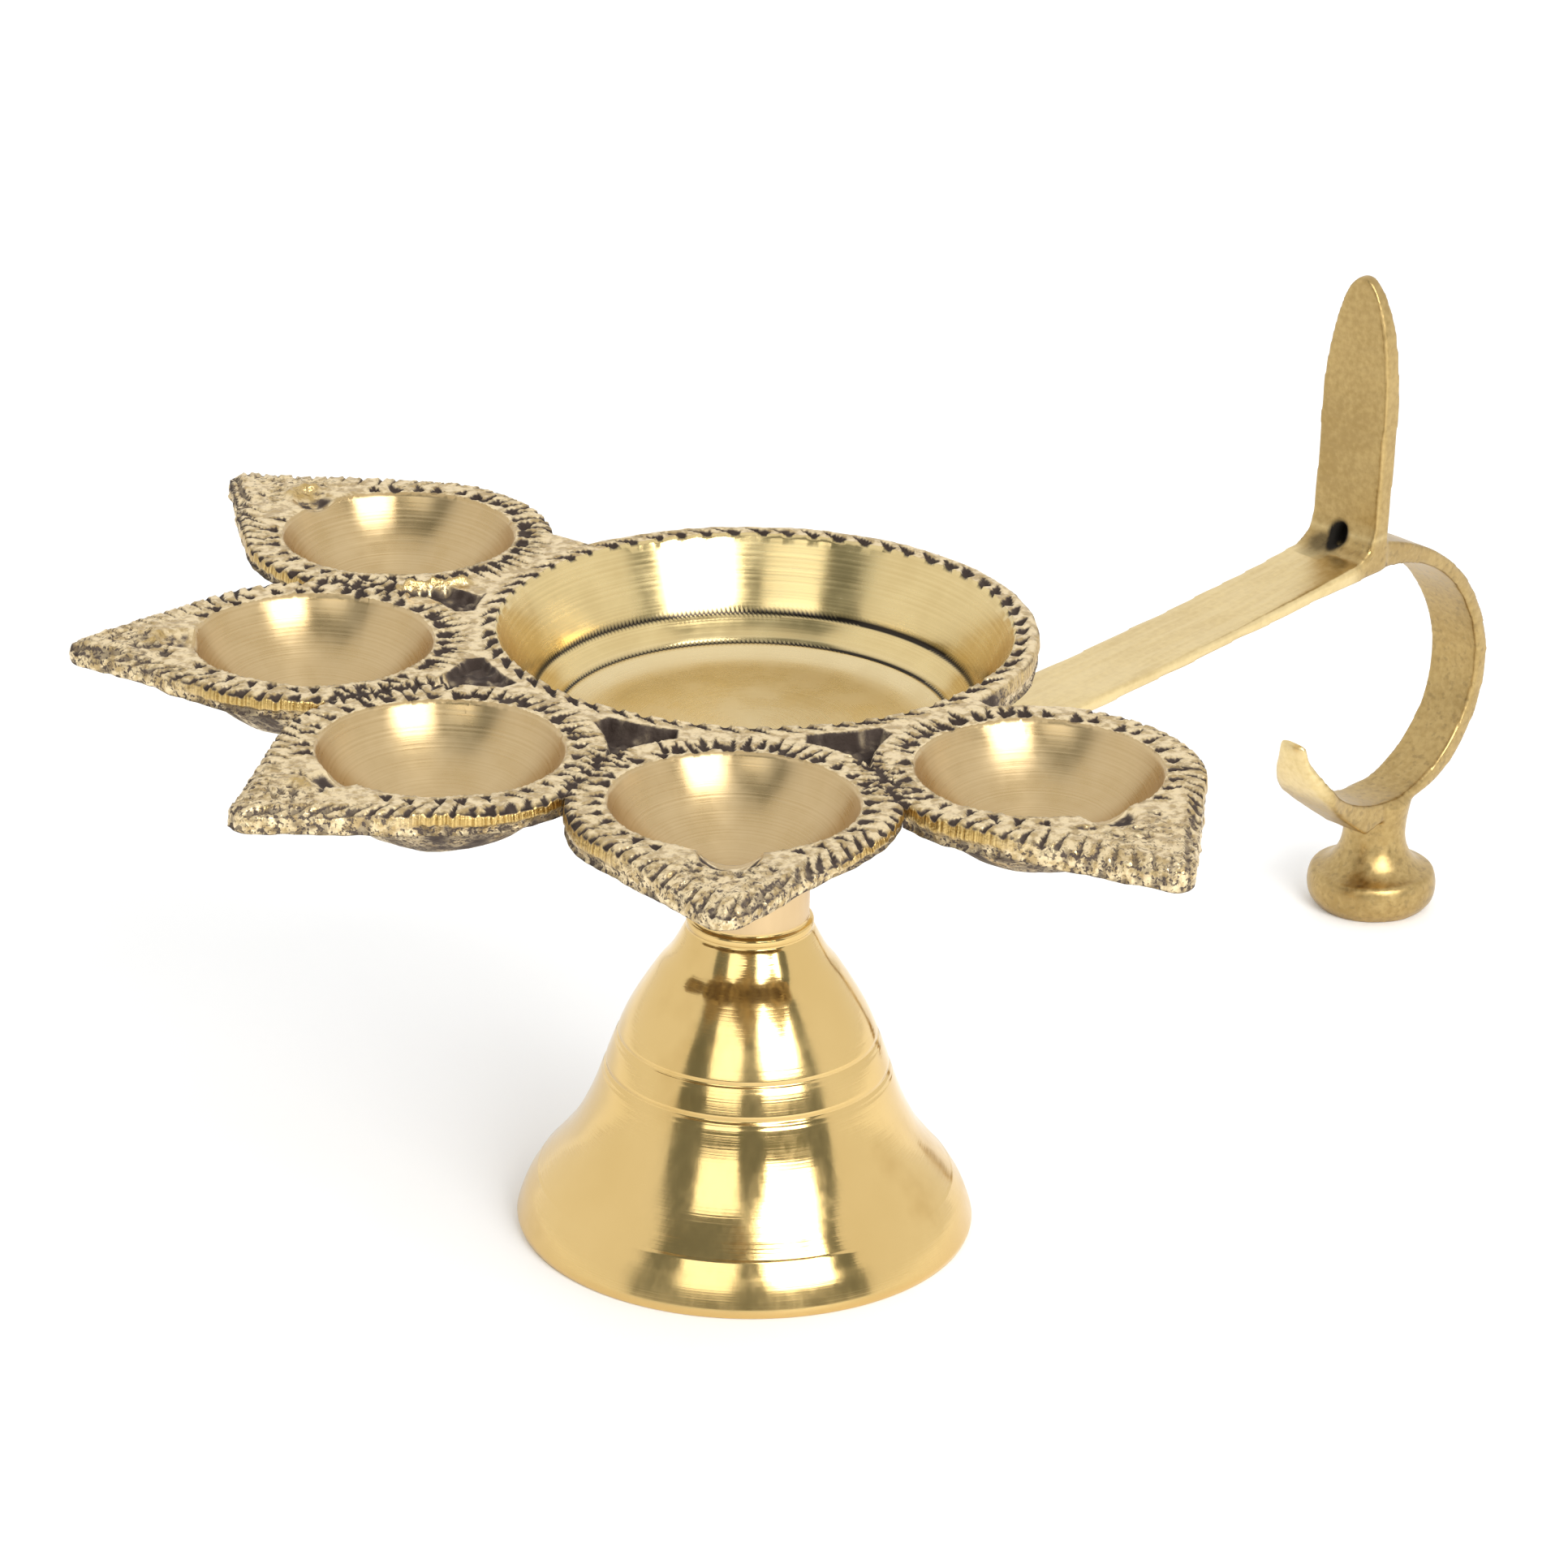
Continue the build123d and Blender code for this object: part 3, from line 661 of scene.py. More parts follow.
def tray_mesh():
    """The whole casting as one closed mesh, with its surface values stored on its points."""
    cups = [cup_centre(index) for index in CUPS]
    outlines = [by_hand(spread(leaf_path(index), FINE)) for index in CUPS]
    outlines += [by_hand(ring(RIM_R, FINE)), spread(web_path(), FINE)]
    outlines += [spread(bridge_path(index), FINE) for index in CUPS]
    outlines += [ring(CUP_R, FINE, centre) for centre in cups] + [ring(BOWL_R, FINE)]
    plan, top = triangulate(top_points(), outlines)
    height, grime_and_shade, sand, golden = tray_top(plan, all_cuts())
    loop = border(top)

    low = np.stack(np.meshgrid(*[np.arange(-70, 70, COARSE)] * 2), -1).reshape(-1, 2)
    inside = np.minimum(land_distance(low), web_distance(low)) < -0.8
    inside &= np.abs(np.hypot(*low.T) - BOSS_R - 0.2) > 0.5
    boss_rings = [ring(r, 0.6) for r in (TAPPED_R, TAPPED_R + 0.02, BOSS_R, BOSS_R + 0.4, BOSS_R + 2.5)]
    under_plan, under = triangulate(np.vstack([low[inside], *boss_rings]), [plan[loop]])
    under_height = tray_underside(under_plan)
    under_loop = border(under)
    nearest = np.argmin(np.hypot(*(under_plan[under_loop] - plan[loop[0]]).T))
    under_loop = np.roll(under_loop, -nearest)
    if len(loop) != len(under_loop):
        raise ValueError(f"the tray's two faces have edges of {len(loop)} and {len(under_loop)} points")

    wall = side_wall(plan[loop], height[loop], under_height[under_loop])
    rows, row_grime_and_shade, row_sand, row_filed, clear = wall
    golden[loop] = 0.7 * clear
    run = np.cumsum(np.hypot(*(plan[loop] - plan[np.roll(loop, 1)]).T))
    runs = [np.zeros(len(plan)), np.zeros(len(under_plan)), *[run] * (WALL_ROWS - 1)]
    runs[0][loop] = run
    runs[1][under_loop] = run
    places = np.vstack([np.c_[plan, height], np.c_[under_plan, under_height], *rows])
    # the underside is darkened in soft patches
    under_darkening = 0.5 + 0.2 * noise(under_plan, 2.2, 61) + 0.25 * noise(under_plan, 0.9, 62)
    zeros = np.zeros(len(under_plan))
    values = {
        "grime_and_shade": np.concatenate([grime_and_shade, np.clip(under_darkening, 0.15, 0.95), *row_grime_and_shade]),
        "sand": np.concatenate([sand, zeros + 0.8, *row_sand]),
        "filed": np.concatenate([golden, zeros, *row_filed]),
        "run": np.concatenate(runs),
    }

    def row_indices(row):
        if row == 0:
            return loop
        if row == WALL_ROWS:
            return under_loop + len(plan)
        return np.arange(len(loop)) + len(plan) + len(under_plan) + (row - 1) * len(loop)

    walls = []
    for row in range(WALL_ROWS):
        upper, lower = row_indices(row), row_indices(row + 1)
        walls.append(np.c_[lower, np.roll(lower, -1), np.roll(upper, -1), upper])
    middles = plan[top].mean(1)
    kinds = np.where(cup_radii(middles)[0] < CUP_R, 1, np.where(np.hypot(*middles.T) < BOWL_R, 2, 0))
    faces = [*top.tolist(), *(under[:, ::-1] + len(plan)).tolist(), *np.vstack(walls).tolist()]
    kinds = np.concatenate([kinds, np.zeros(len(faces) - len(top), int)])

    places[:, 2] += RIM_Z
    mesh = bpy.data.meshes.new("tray_casting")
    mesh.from_pydata((places * MM).tolist(), [], faces)
    mesh.polygons.foreach_set("material_index", kinds.astype(np.int32))
    cup_r, cup = cup_radii(places[:, :2])
    in_cup = cup_r < CUP_R + TOUCH
    centre = np.where(in_cup[:, None], np.array(cups)[cup], 0.0)
    values["turn_r"] = np.where(in_cup, cup_r + 30.0 * (cup + 1), np.hypot(*places[:, :2].T))
    offset = places[:, :2] - centre
    store(mesh, values)
    outward = np.c_[offset, np.zeros(len(places))] + (1e-4, 0, 0)
    across_turning = mesh.attributes.new("across_turning", "FLOAT_VECTOR", "POINT")
    across_turning.data.foreach_set("vector", outward.astype(np.float32).ravel())
    mesh.validate()
    mesh.shade_smooth()
    return mesh


# ======== the turned stand


def in_scene(name, data):
    """A new object in the scene."""
    made = bpy.data.objects.new(name, data)
    bpy.context.scene.collection.objects.link(made)
    return made


def lathe(name, profile, segments):
    """Closed ring-shaped mesh: a closed (radius, height) outline in mm, turned about Z."""
    turn = np.linspace(0, 2 * math.pi, segments, endpoint=False)
    profile = np.array(profile)
    radius, height = profile[:, 0][:, None], profile[:, 1][:, None]
    places = np.stack([radius * np.cos(turn), radius * np.sin(turn), height + 0 * turn], -1)
    count = len(profile)
    here = np.arange(count * segments).reshape(count, segments)
    down = np.roll(here, -1, 0)
    quads = np.stack([here, np.roll(here, -1, 1), np.roll(down, -1, 1), down], -1).reshape(-1, 4)
    mesh = bpy.data.meshes.new(name)
    mesh.from_pydata((places.reshape(-1, 3) * MM).tolist(), [], quads[:, ::-1].tolist())
    mesh.shade_smooth()
    return mesh


def flow(points, step):
    """Smooth curve through (radius, height) points, by Catmull-Rom spans, in steps of about one length."""
    points = np.array(points, float)
    padded = np.vstack([2 * points[0] - points[1], points, 2 * points[-1] - points[-2]])
    spans = []
    for before, start, end, after in zip(padded, padded[1:], padded[2:], padded[3:]):
        count = max(2, round(np.hypot(*(end - start)) / step))
        t = np.linspace(0, 1, count, endpoint=False)[:, None]
        bend = 2 * before - 5 * start + 4 * end - after
        twist = 3 * start - before - 3 * end + after
        spans.append(0.5 * (2 * start + (end - before) * t + bend * t**2 + twist * t**3))
    return np.vstack([*spans, points[-1:]])


def stand_profile():
    """Outline of the bell, from the neck's top down the outside and back up the inside."""
    top_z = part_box("stand")[1].z / MM
    foot_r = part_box("stand")[1].x / MM
    neck = flow([(5.8, top_z), (5.8, 38.0), (5.8, 33.2)], 0.6)
    collar = flow([(5.85, 33.0), (6.2, 32.75), (6.3, 32.3), (6.25, 31.95)], 0.12)
    shoulder = [(6.35, 31.75), (7.8, 29.0), (9.3, 27.0), (11.7, 23.0)]
    bell = flow([*shoulder, (13.4, 19.0), (15.55, 13.0), (17.6, 9.0), (20.5, 5.3)], 0.16)
    band = flow([(20.62, 5.2), (21.8, 3.2), (foot_r, 1.0), (foot_r, 0.4)], 0.16)
    foot = flow([(foot_r - 0.12, 0.1), (foot_r - 0.4, 0.0), (foot_r - 1.8, 0.0)], 0.4)
    flare = [(foot_r - 1.9, 0.15), (20.1, 2.6), (18.6, 5.0), (15.8, 8.9)]
    inside = flow([*flare, (13.8, 13.0), (11.6, 19.0), (9.6, 22.8), (5.6, 26.6)], 0.5)
    hole = [(2.75, 26.6), (2.75, 34.0), (2.75, top_z)]
    outside = np.vstack([neck, collar, bell, band])
    slope = np.gradient(outside, axis=0)
    normal = np.c_[-slope[:, 1], slope[:, 0]] / np.hypot(*slope.T)[:, None]
    z = outside[:, 1]
    cut = np.zeros(len(outside))
    for line_z, depth, width in STAND_LINES:
        cut += depth * np.exp(-(((z - line_z) / width) ** 2))
    chatter = 0.007 * noise(z[:, None], 1.6, 71) + 0.0025 * noise(z[:, None], 0.45, 72)
    outside = outside + normal * (chatter - cut)[:, None]
    return np.vstack([outside, foot, inside, hole])


# ======== the filed handle


def worn_tip(mesh, places):
    """The mesh's points, in mm, with the hook's end widened and rounded by averaging neighbours."""
    edges = np.zeros(len(mesh.edges) * 2, np.int32)
    mesh.edges.foreach_get("vertices", edges)
    edges = edges.reshape(-1, 2)
    x, z = places[:, 0], places[:, 2]
    hook = smooth((96.0 - x) / 6.0) * (z < 28) * (x > 80)
    places = places * np.c_[np.ones(len(x)), 1 + HOOK_WIDER * hook, np.ones(len(x))]
    near = smooth((92.5 - x) / 3.0) * smooth((z - 20.0) / 2.0) * (z < 28) * (x > 80)
    edges = edges[near[edges].max(1) > 0]
    count = np.maximum(np.bincount(edges.ravel(), minlength=len(places)), 1)
    here, there = edges.T.ravel(), edges[:, ::-1].T.ravel()
    for _ in range(TIP_ROUNDS):
        total = np.stack([np.bincount(here, places[there, axis], len(places)) for axis in range(3)], -1)
        places = places + (0.6 * near)[:, None] * (total / count[:, None] - places)
    return places


def handle_mesh():
    """The handle's casting, its edges eased and its faces a little uneven from the file."""
    work = bmesh.new()
    work.from_mesh(NODES["handle"].data)
    bmesh.ops.remove_doubles(work, verts=work.verts, dist=1e-6)
    mesh = bpy.data.meshes.new("handle_casting")
    work.to_mesh(mesh)
    work.free()
    body = in_scene("handle_casting", mesh)
    remesh = body.modifiers.new("remesh", "REMESH")
    remesh.mode = "VOXEL"
    remesh.voxel_size = VOXEL * MM
    ease = body.modifiers.new("ease", "SMOOTH")
    ease.factor = 0.5
    ease.iterations = EASE_ROUNDS
    eased = body.evaluated_get(bpy.context.evaluated_depsgraph_get())
    finished = bpy.data.meshes.new_from_object(eased)
    bpy.data.objects.remove(body)
    count = len(finished.vertices)
    places = np.zeros(count * 3)
    normals = np.zeros(count * 3)
    finished.vertices.foreach_get("co", places)
    finished.vertex_normals.foreach_get("vector", normals)
    places, normals = places.reshape(-1, 3) / MM, normals.reshape(-1, 3)
    places = worn_tip(finished, places)
    free = smooth((places[:, 0] - 8.0) / 4.0)
    wander = 0.08 * noise(places, 7.0, 81) + 0.02 * noise(places, 2.4, 82)
    places = places + normals * (wander * free)[:, None]
    places[:, 2] = np.maximum(places[:, 2], 0.0)
    finished.vertices.foreach_set("co", (places * MM).ravel())
    x, z = places[:, 0], places[:, 2]
    blade = smooth((z - 46.5) / 1.5)
    ring_part = smooth((x - 90.0) / 3.0) * (1 - blade)
    # painted shade: a near-black patch in the hollow at the front, where the ring meets the blade
    away = np.hypot((places[:, 1] - 0.2) * 1.15, z - 46.9)
    shade_spot_away = np.hypot((places[:, 1] - 1.5) / 1.9, (z - 46.0) / 0.9)
    front = (x > 90) & (x < 98)
    hollow = np.maximum(smooth((1.9 - away) / 0.7), 0.75 * smooth((1.3 - shade_spot_away) / 0.8)) * front
    store(finished, {"blade": blade, "ring": ring_part, "hollow": hollow})
    finished.shade_smooth()
    return finished


# ======== materials


class Nodes:
    """A node tree, with short calls that add nodes to it."""

    def __init__(self, tree):
        self.tree = tree

    def node(self, kind, sockets=(), **settings):
        """A new node with its settings, and each socket set to a value or linked to another's output."""
        made = self.tree.nodes.new("ShaderNode" + kind)
        for key, value in settings.items():
            setattr(made, key, value)
        for socket, value in dict(sockets).items():
            if isinstance(value, bpy.types.NodeSocket):
                self.tree.links.new(value, made.inputs[socket])
            else:
                made.inputs[socket].default_value = value
        return made

    def value(self, name):
        """A number stored on the mesh's points."""
        return self.node("Attribute", attribute_name=name).outputs["Fac"]

    def math(self, operation, first, second=0.0, third=0.0):
        """One sum on numbers."""
        return self.node("Math", {0: first, 1: second, 2: third}, operation=operation).outputs[0]

    def noise(self, scale, detail=2.0, stretch=None, along=None):
        """Noise from 0 to 1 in space, on stretched space, or along one number."""
        if along is not None:
            sockets = {"W": self.math("MULTIPLY", along, scale), "Scale": 1.0, "Detail": detail}
            return self.node("TexNoise", sockets, noise_dimensions="1D").outputs["Fac"]
        place = self.node("TexCoord").outputs["Object"]
        if stretch:
            place = self.node("VectorMath", {0: place, 1: stretch}, operation="MULTIPLY").outputs[0]
        return self.node("TexNoise", {"Vector": place, "Scale": scale, "Detail": detail}).outputs["Fac"]

    def span(self, value, low, high, start=0.0, end=1.0):
        """A number moved from one range to another and held there."""
        sockets = {"Value": value, "From Min": low, "From Max": high, "To Min": start, "To Max": end}
        return self.node("MapRange", sockets, interpolation_type="SMOOTHSTEP").outputs["Result"]

    def mix(self, factor, first, second):
        """Two colours mixed by a factor."""
        first, second = (c if isinstance(c, bpy.types.NodeSocket) else (*c, 1) for c in (first, second))
        return self.node("Mix", {0: factor, 6: first, 7: second}, data_type="RGBA").outputs[2]

    def bump(self, height, distance, under=None):
        """Bump of a height from 0 to 1, its depth in mm, laid over another bump."""
        sockets = {"Height": height, "Distance": distance * MM, "Strength": 1.0}
        if under:
            sockets["Normal"] = under
        return self.node("Bump", sockets).outputs["Normal"]


class Shader(Nodes):
    """A material with one Principled node."""

    def __init__(self, name, **sockets):
        self.material = bpy.data.materials.new(name)
        self.material.use_nodes = True
        super().__init__(self.material.node_tree)
        self.body = self.tree.nodes["Principled BSDF"]
        for socket, value in sockets.items():
            self.body.inputs[socket.replace("_", " ")].default_value = value

    def use(self, **sockets):
        """Links outputs to the Principled node."""
        for socket, output in sockets.items():
            self.tree.links.new(output, self.body.inputs[socket.replace("_", " ")])
        return self.material


def cast_brass():
    """The chiselled casting: rubbed pale on its high lands, dark in its cuts and pockets from grime and
    painted shade, golden where it was filed.
    """
    shader = Shader("cast_brass")
    grime_and_shade, sand, filed = shader.value("grime_and_shade"), shader.value("sand"), shader.value("filed")
    coarse, fine = shader.noise(900.0, 3.0), shader.noise(2300.0, 2.0)
    finest = shader.noise(4200.0, 1.0)
    grain = shader.math("MULTIPLY_ADD", fine, 0.7, shader.math("MULTIPLY", finest, 0.3))
    specks = shader.math("MULTIPLY", shader.span(grain, 0.50, 0.60), shader.math("MULTIPLY", sand, 0.52))
    # the stored darkening is grime plus painted shade of cuts, pockets, pits and grooves
    soiled_and_shaded = shader.math("ADD", specks, grime_and_shade)
    soiled_and_shaded = shader.math("ADD", soiled_and_shaded, shader.math("MULTIPLY_ADD", coarse, 0.16, -0.08))
    soiled_and_shaded = shader.span(soiled_and_shaded, 0.14, 0.80)
    strokes = shader.noise(3.4, 2.0, along=shader.value("run"))
    cut_grime_shade_and_wear = shader.span(shader.noise(1100.0, 3.0), 0.36, 0.60)
    rubbed = shader.mix(cut_grime_shade_and_wear, (0.50, 0.365, 0.18), (0.83, 0.67, 0.41))
    golden = shader.mix(shader.span(strokes, 0.35, 0.65), (0.34, 0.21, 0.06), (0.66, 0.47, 0.18))
    metal = shader.mix(filed, rubbed, golden)
    # grime colour, also standing in for painted shade
    dark_grime_and_shade = shader.mix(shader.span(grime_and_shade, 0.55, 1.0), GRIME_AND_SHADE_COLOUR, DEEP_GRIME_AND_SHADE_COLOUR)
    colour = shader.mix(soiled_and_shaded, metal, dark_grime_and_shade)
    rough = shader.span(soiled_and_shaded, 0.0, 1.0, 0.34, 0.80)
    metallic = shader.span(soiled_and_shaded, 0.30, 1.0, 1.0, 0.0)
    skin = shader.bump(grain, 0.16)
    skin = shader.bump(shader.noise(1300.0, 2.0), 0.05, skin)
    marks = shader.math("MULTIPLY", strokes, filed)
    skin = shader.bump(marks, 0.10, skin)
    shader.body.inputs["Specular IOR Level"].default_value = 0.25
    return shader.use(Base_Color=colour, Roughness=rough, Metallic=metallic, Normal=skin)


def turned_brass(name, dark, light, ring_depth, roughness, dull_inside=0.0):
    """Satin brass off the lathe: rings about the turning axis that catch the light in streaks."""
    shader = Shader(name, Metallic=1.0, Anisotropic=0.55)
    radius, grime_and_shade = shader.value("turn_r"), shader.value("grime_and_shade")
    fine = shader.noise(7.0, 2.0, along=radius)
    broad = shader.noise(1.7, 2.0, along=radius)
    cloud = shader.noise(260.0, 3.0)
    tone = shader.math("ADD", shader.math("MULTIPLY", fine, 0.4), shader.math("MULTIPLY", cloud, 0.6))
    colour = shader.mix(shader.span(tone, 0.3, 0.7), dark, light)
    # darkened where the stored grime and painted shade lie: in the bowl, painted shade along its grooves
    colour = shader.mix(grime_and_shade, colour, (0.035, 0.028, 0.022))
    uneven = shader.math("MULTIPLY_ADD", fine, 0.5, cloud)
    rough = shader.span(uneven, 0.4, 1.1, roughness - 0.06, roughness + 0.08)
    if dull_inside:
        floor = shader.span(radius, dull_inside + 1.0, dull_inside - 1.0)
        rough = shader.math("MULTIPLY_ADD", floor, 0.05, rough)
        floor_clear_of_groove_shade = shader.math("MULTIPLY", floor, shader.math("SUBTRACT", 1.0, grime_and_shade))
        colour = shader.mix(floor_clear_of_groove_shade, colour, (0.74, 0.60, 0.34))
    rings = shader.bump(fine, ring_depth)
    rings = shader.bump(broad, ring_depth * 2.5, rings)
    material = shader.use(Base_Color=colour, Roughness=rough, Normal=rings)
    across = shader.node("Attribute", attribute_name="across_turning").outputs["Vector"]
    shader.tree.links.new(across, shader.body.inputs["Tangent"])
    return material


def polished_brass():
    """The stand's polish: near mirror, with lathe lines round it, fine scratches and brown tarnish."""
    shader = Shader("polished_brass", Metallic=1.0)
    place = shader.node("TexCoord").outputs["Object"]
    height = shader.node("SeparateXYZ", {0: place}).outputs["Z"]
    lines = shader.noise(4200.0, 2.0, along=height)
    cloud = shader.noise(90.0, 3.0)
    scratch = shader.noise(1500.0, 2.0, stretch=(1.0, 1.0, 0.25))
    tarnish = shader.span(shader.noise(70.0, 4.0), 0.56, 0.72)
    metal = shader.mix(cloud, (0.64, 0.44, 0.165), (0.75, 0.54, 0.235))
    colour = shader.mix(shader.math("MULTIPLY", tarnish, 0.5), metal, (0.50, 0.31, 0.09))
    rough = shader.span(shader.math("MULTIPLY_ADD", scratch, 0.5, cloud), 0.45, 1.1, 0.09, 0.22)
    foot = shader.span(height, 4.4 * MM, 3.6 * MM)
    rough = shader.math("MULTIPLY_ADD", foot, 0.05, rough)
    neck = shader.span(height, 33.0 * MM, 33.4 * MM)
    colour = shader.mix(neck, colour, (0.67, 0.49, 0.275))
    rough = shader.math("MULTIPLY_ADD", neck, 0.24, rough)
    polish = shader.bump(lines, 0.0060)
    polish = shader.bump(scratch, 0.0035, polish)
    return shader.use(Base_Color=colour, Roughness=rough, Normal=polish)


def brushed_brass():
    """The handle's finish: emery-brushed bright along the strap, duller on the blade and round the ring, with
    painted shade near black in the hollow at the ring's front.
    """
    shader = Shader("brushed_brass", Metallic=1.0)
    blade, ring_part, hollow = shader.value("blade"), shader.value("ring"), shader.value("hollow")
    length = shader.noise(1500.0, 2.0, stretch=(0.06, 1.0, 1.0))
    across = shader.noise(1500.0, 2.0, stretch=(1.0, 0.10, 0.8))
    strokes = shader.mix(blade, length, across)
    clouds = shader.math("MULTIPLY", shader.noise(110.0), 0.45)
    mottle = shader.math("MULTIPLY_ADD", shader.noise(1500.0, 3.0), 0.55, clouds)
    metal = shader.mix(shader.span(mottle, 0.3, 0.7), (0.65, 0.49, 0.23), (0.77, 0.61, 0.31))
    metal = shader.mix(shader.span(strokes, 0.35, 0.65, 0.0, 0.35), metal, (0.82, 0.67, 0.38))
    dull = shader.mix(shader.span(mottle, 0.35, 0.7), (0.345, 0.225, 0.078), (0.49, 0.34, 0.135))
    duller = shader.math("MULTIPLY", shader.math("MAXIMUM", ring_part, blade), 0.85)
    colour = shader.mix(duller, metal, dull)
    spots = shader.span(shader.noise(1400.0, 3.0), 0.54, 0.68)
    spots = shader.math("MULTIPLY", spots, shader.math("MULTIPLY", ring_part, 0.35))
    colour = shader.mix(spots, colour, (0.2, 0.14, 0.07))
    # painted shade: the hollow is coloured near black, rough and not metallic
    colour = shader.mix(hollow, colour, (0.012, 0.010, 0.008))
    rough = shader.math("MULTIPLY_ADD", hollow, 0.5, shader.span(mottle, 0.3, 0.7, 0.30, 0.42))
    marks = shader.bump(strokes, 0.014)
    marks = shader.bump(shader.noise(1500.0, 3.0), 0.014, marks)
    metallic = shader.span(hollow, 0.0, 0.7, 1.0, 0.0)
    shader.body.inputs["Specular IOR Level"].default_value = 0.1
    return shader.use(Base_Color=colour, Roughness=rough, Normal=marks, Metallic=metallic)


def plated_steel():
    """Zinc-plated hardware with a faint yellow bloom."""
    shader = Shader("plated_steel", Metallic=1.0)
    bloom = shader.noise(600.0, 3.0)
    colour = shader.mix(bloom, (0.50, 0.51, 0.53), (0.66, 0.64, 0.58))
    rough = shader.span(bloom, 0.3, 0.7, 0.28, 0.42)
    return shader.use(Base_Color=colour, Roughness=rough, Normal=shader.bump(shader.noise(3000.0), 0.004))


# ======== camera and stage


def turned(vector, degrees):
    """A vector turned about Z."""
    return Matrix.Rotation(math.radians(degrees), 3, "Z") @ Vector(vector)


def make_camera():
    """Camera at the angle of the picture."""
    data = bpy.data.cameras.new("camera")
    data.lens = LENS_MM
    data.sensor_width = SENSOR_MM
    data.clip_start = 0.01
    data.clip_end = 20.0
    camera = in_scene("camera", data)
    rise, pitch = math.radians(CAMERA_RISE), math.radians(CAMERA_PITCH)
    away = turned((0, -math.cos(rise), math.sin(rise)), CAMERA_TURN)
    camera.location = Vector((0, 0, RIM_Z * MM)) + CAMERA_FAR * away
    forward = turned((0, math.cos(pitch), -math.sin(pitch)), CAMERA_TURN - CAMERA_YAW)
    spin = Matrix.Rotation(math.radians(CAMERA_ROLL), 3, "Z")
    camera.rotation_mode = "QUATERNION"
    camera.rotation_quaternion = (forward.to_track_quat("-Z", "Y").to_matrix() @ spin).to_quaternion()
    bpy.context.scene.camera = camera


def softbox(name, turn, width_turn, rise, height_turn, radiance):
    """Rectangular light aimed at the lamp, placed by the angles that it fills as the lamp sees them."""
    data = bpy.data.lights.new(name, "AREA")
    data.shape = "RECTANGLE"
    data.size = 2 * SOFTBOX_FAR * math.tan(math.radians(width_turn / 2)) * math.cos(math.radians(rise))
    data.size_y = 2 * SOFTBOX_FAR * math.tan(math.radians(height_turn / 2))
    data.energy = radiance * math.pi * data.size * data.size_y
    light = in_scene(name, data)
    rise = math.radians(rise)
    away = turned((0, -math.cos(rise), math.sin(rise)), CAMERA_TURN + turn)
    light.location = SOFTBOX_FAR * away + Vector((0, 0, 0.03))
    light.rotation_mode = "QUATERNION"
    light.rotation_quaternion = away.to_track_quat("Z", "Y")


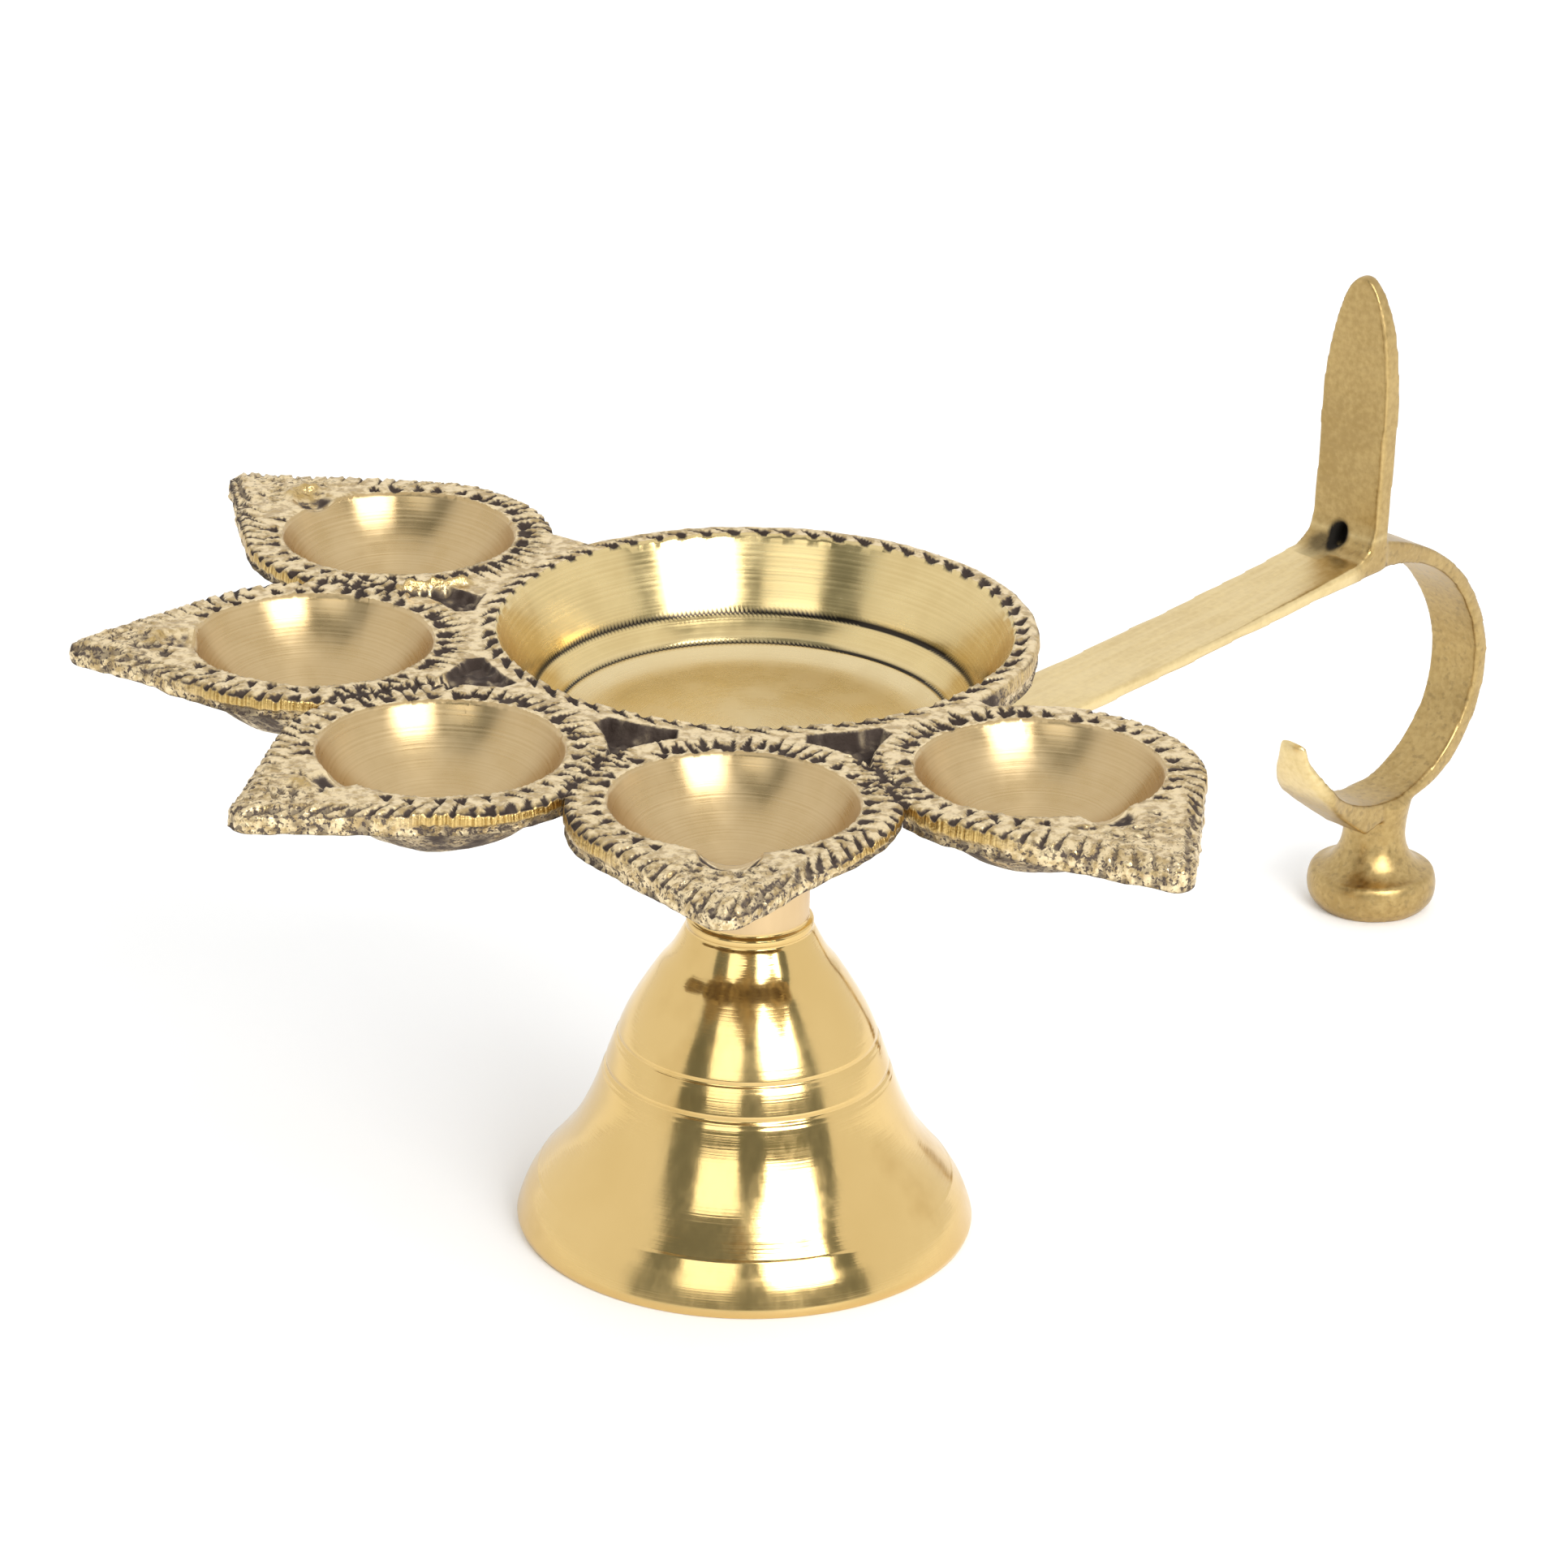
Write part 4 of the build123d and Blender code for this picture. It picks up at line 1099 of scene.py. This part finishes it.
def studio_world():
    """White studio all round, with a dark gap behind the lights that polished brass shows as olive."""
    world = bpy.data.worlds.new("studio")
    world.use_nodes = True
    bpy.context.scene.world = world
    shader = Nodes(world.node_tree)
    place = shader.node("TexCoord").outputs["Generated"]
    towards = turned((0, -1, 0), CAMERA_TURN + DARK_TURN)
    flat = shader.node("VectorMath", {0: place, 1: (1, 1, 0)}, operation="MULTIPLY").outputs[0]
    unit = shader.node("VectorMath", {0: flat}, operation="NORMALIZE").outputs[0]
    facing = shader.node("VectorMath", {0: unit, 1: towards}, operation="DOT_PRODUCT").outputs["Value"]
    rise = shader.node("SeparateXYZ", {0: place}).outputs["Z"]
    edge = math.cos(math.radians(DARK_HALF))
    inside = shader.span(facing, edge - 0.02, edge + 0.02)
    low = shader.span(rise, math.sin(math.radians(DARK_TOP + 6)), math.sin(math.radians(DARK_TOP - 6)))
    above = shader.span(rise, -0.02, 0.03)
    dark = shader.math("MULTIPLY", shader.math("MULTIPLY", inside, low), above)
    colour = shader.mix(dark, WORLD_WHITE, WORLD_DARK)
    shader.tree.links.new(colour, shader.tree.nodes["Background"].inputs["Color"])


def make_floor():
    """Plain pale floor, with the faintest unevenness in its sheen."""
    shader = Shader("pale_floor", Roughness=0.6, Emission_Color=(1, 1, 1, 1), Emission_Strength=FLOOR_GLOW)
    shade = shader.mix(shader.noise(3.0, 2.0), (0.95, 0.95, 0.95), (0.96, 0.96, 0.96))
    shader.use(Base_Color=shade)
    corners = [(x * FLOOR_HALF, y * FLOOR_HALF, 0) for x, y in ((-1, -1), (1, -1), (1, 1), (-1, 1))]
    mesh = bpy.data.meshes.new("floor")
    mesh.from_pydata(corners, [], [(0, 1, 2, 3)])
    mesh.materials.append(shader.material)
    in_scene("floor", mesh)


# ======== the scene


def piece(mesh, materials, body, slot, *nodes):
    """A finished mesh as a visible piece that rides on a CAD body and stands for CAD nodes."""
    made = in_scene(mesh.name, mesh)
    for material in materials:
        mesh.materials.append(material)
    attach(made, body)
    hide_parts(*nodes)


def finish_cad_node(node, material):
    """A CAD node that stays as it is, with a better material."""
    body = NODES[node]
    body.data.materials.clear()
    body.data.materials.append(material)


make_camera()
studio_world()
softbox("left_softbox", -19.0, 29.0, 26.0, 27.0, 2.2)
softbox("right_softbox", 31.0, 37.0, 34.0, 35.0, 8.5)
make_floor()

cups = turned_brass("cup_brass", (0.50, 0.355, 0.17), (0.60, 0.45, 0.245), 0.006, 0.30)
bowl = turned_brass("bowl_brass", (0.64, 0.485, 0.225), (0.74, 0.585, 0.29), 0.003, 0.22, BOWL_GROOVES[1])
piece(tray_mesh(), [cast_brass(), cups, bowl], "lamp", "tray_brass", "tray")
bell = lathe("stand_bell", stand_profile(), STAND_SEGMENTS)
piece(bell, [polished_brass()], "lamp", "stand_brass", "stand")
piece(handle_mesh(), [brushed_brass()], "handle", "handle_brass", "handle")
steel = plated_steel()
for node in ("clamp_screw", "plain_washer", "lock_washer"):
    finish_cad_node(node, steel)

view = bpy.context.scene.view_settings
view.view_transform = "Standard"
view.look = "None"
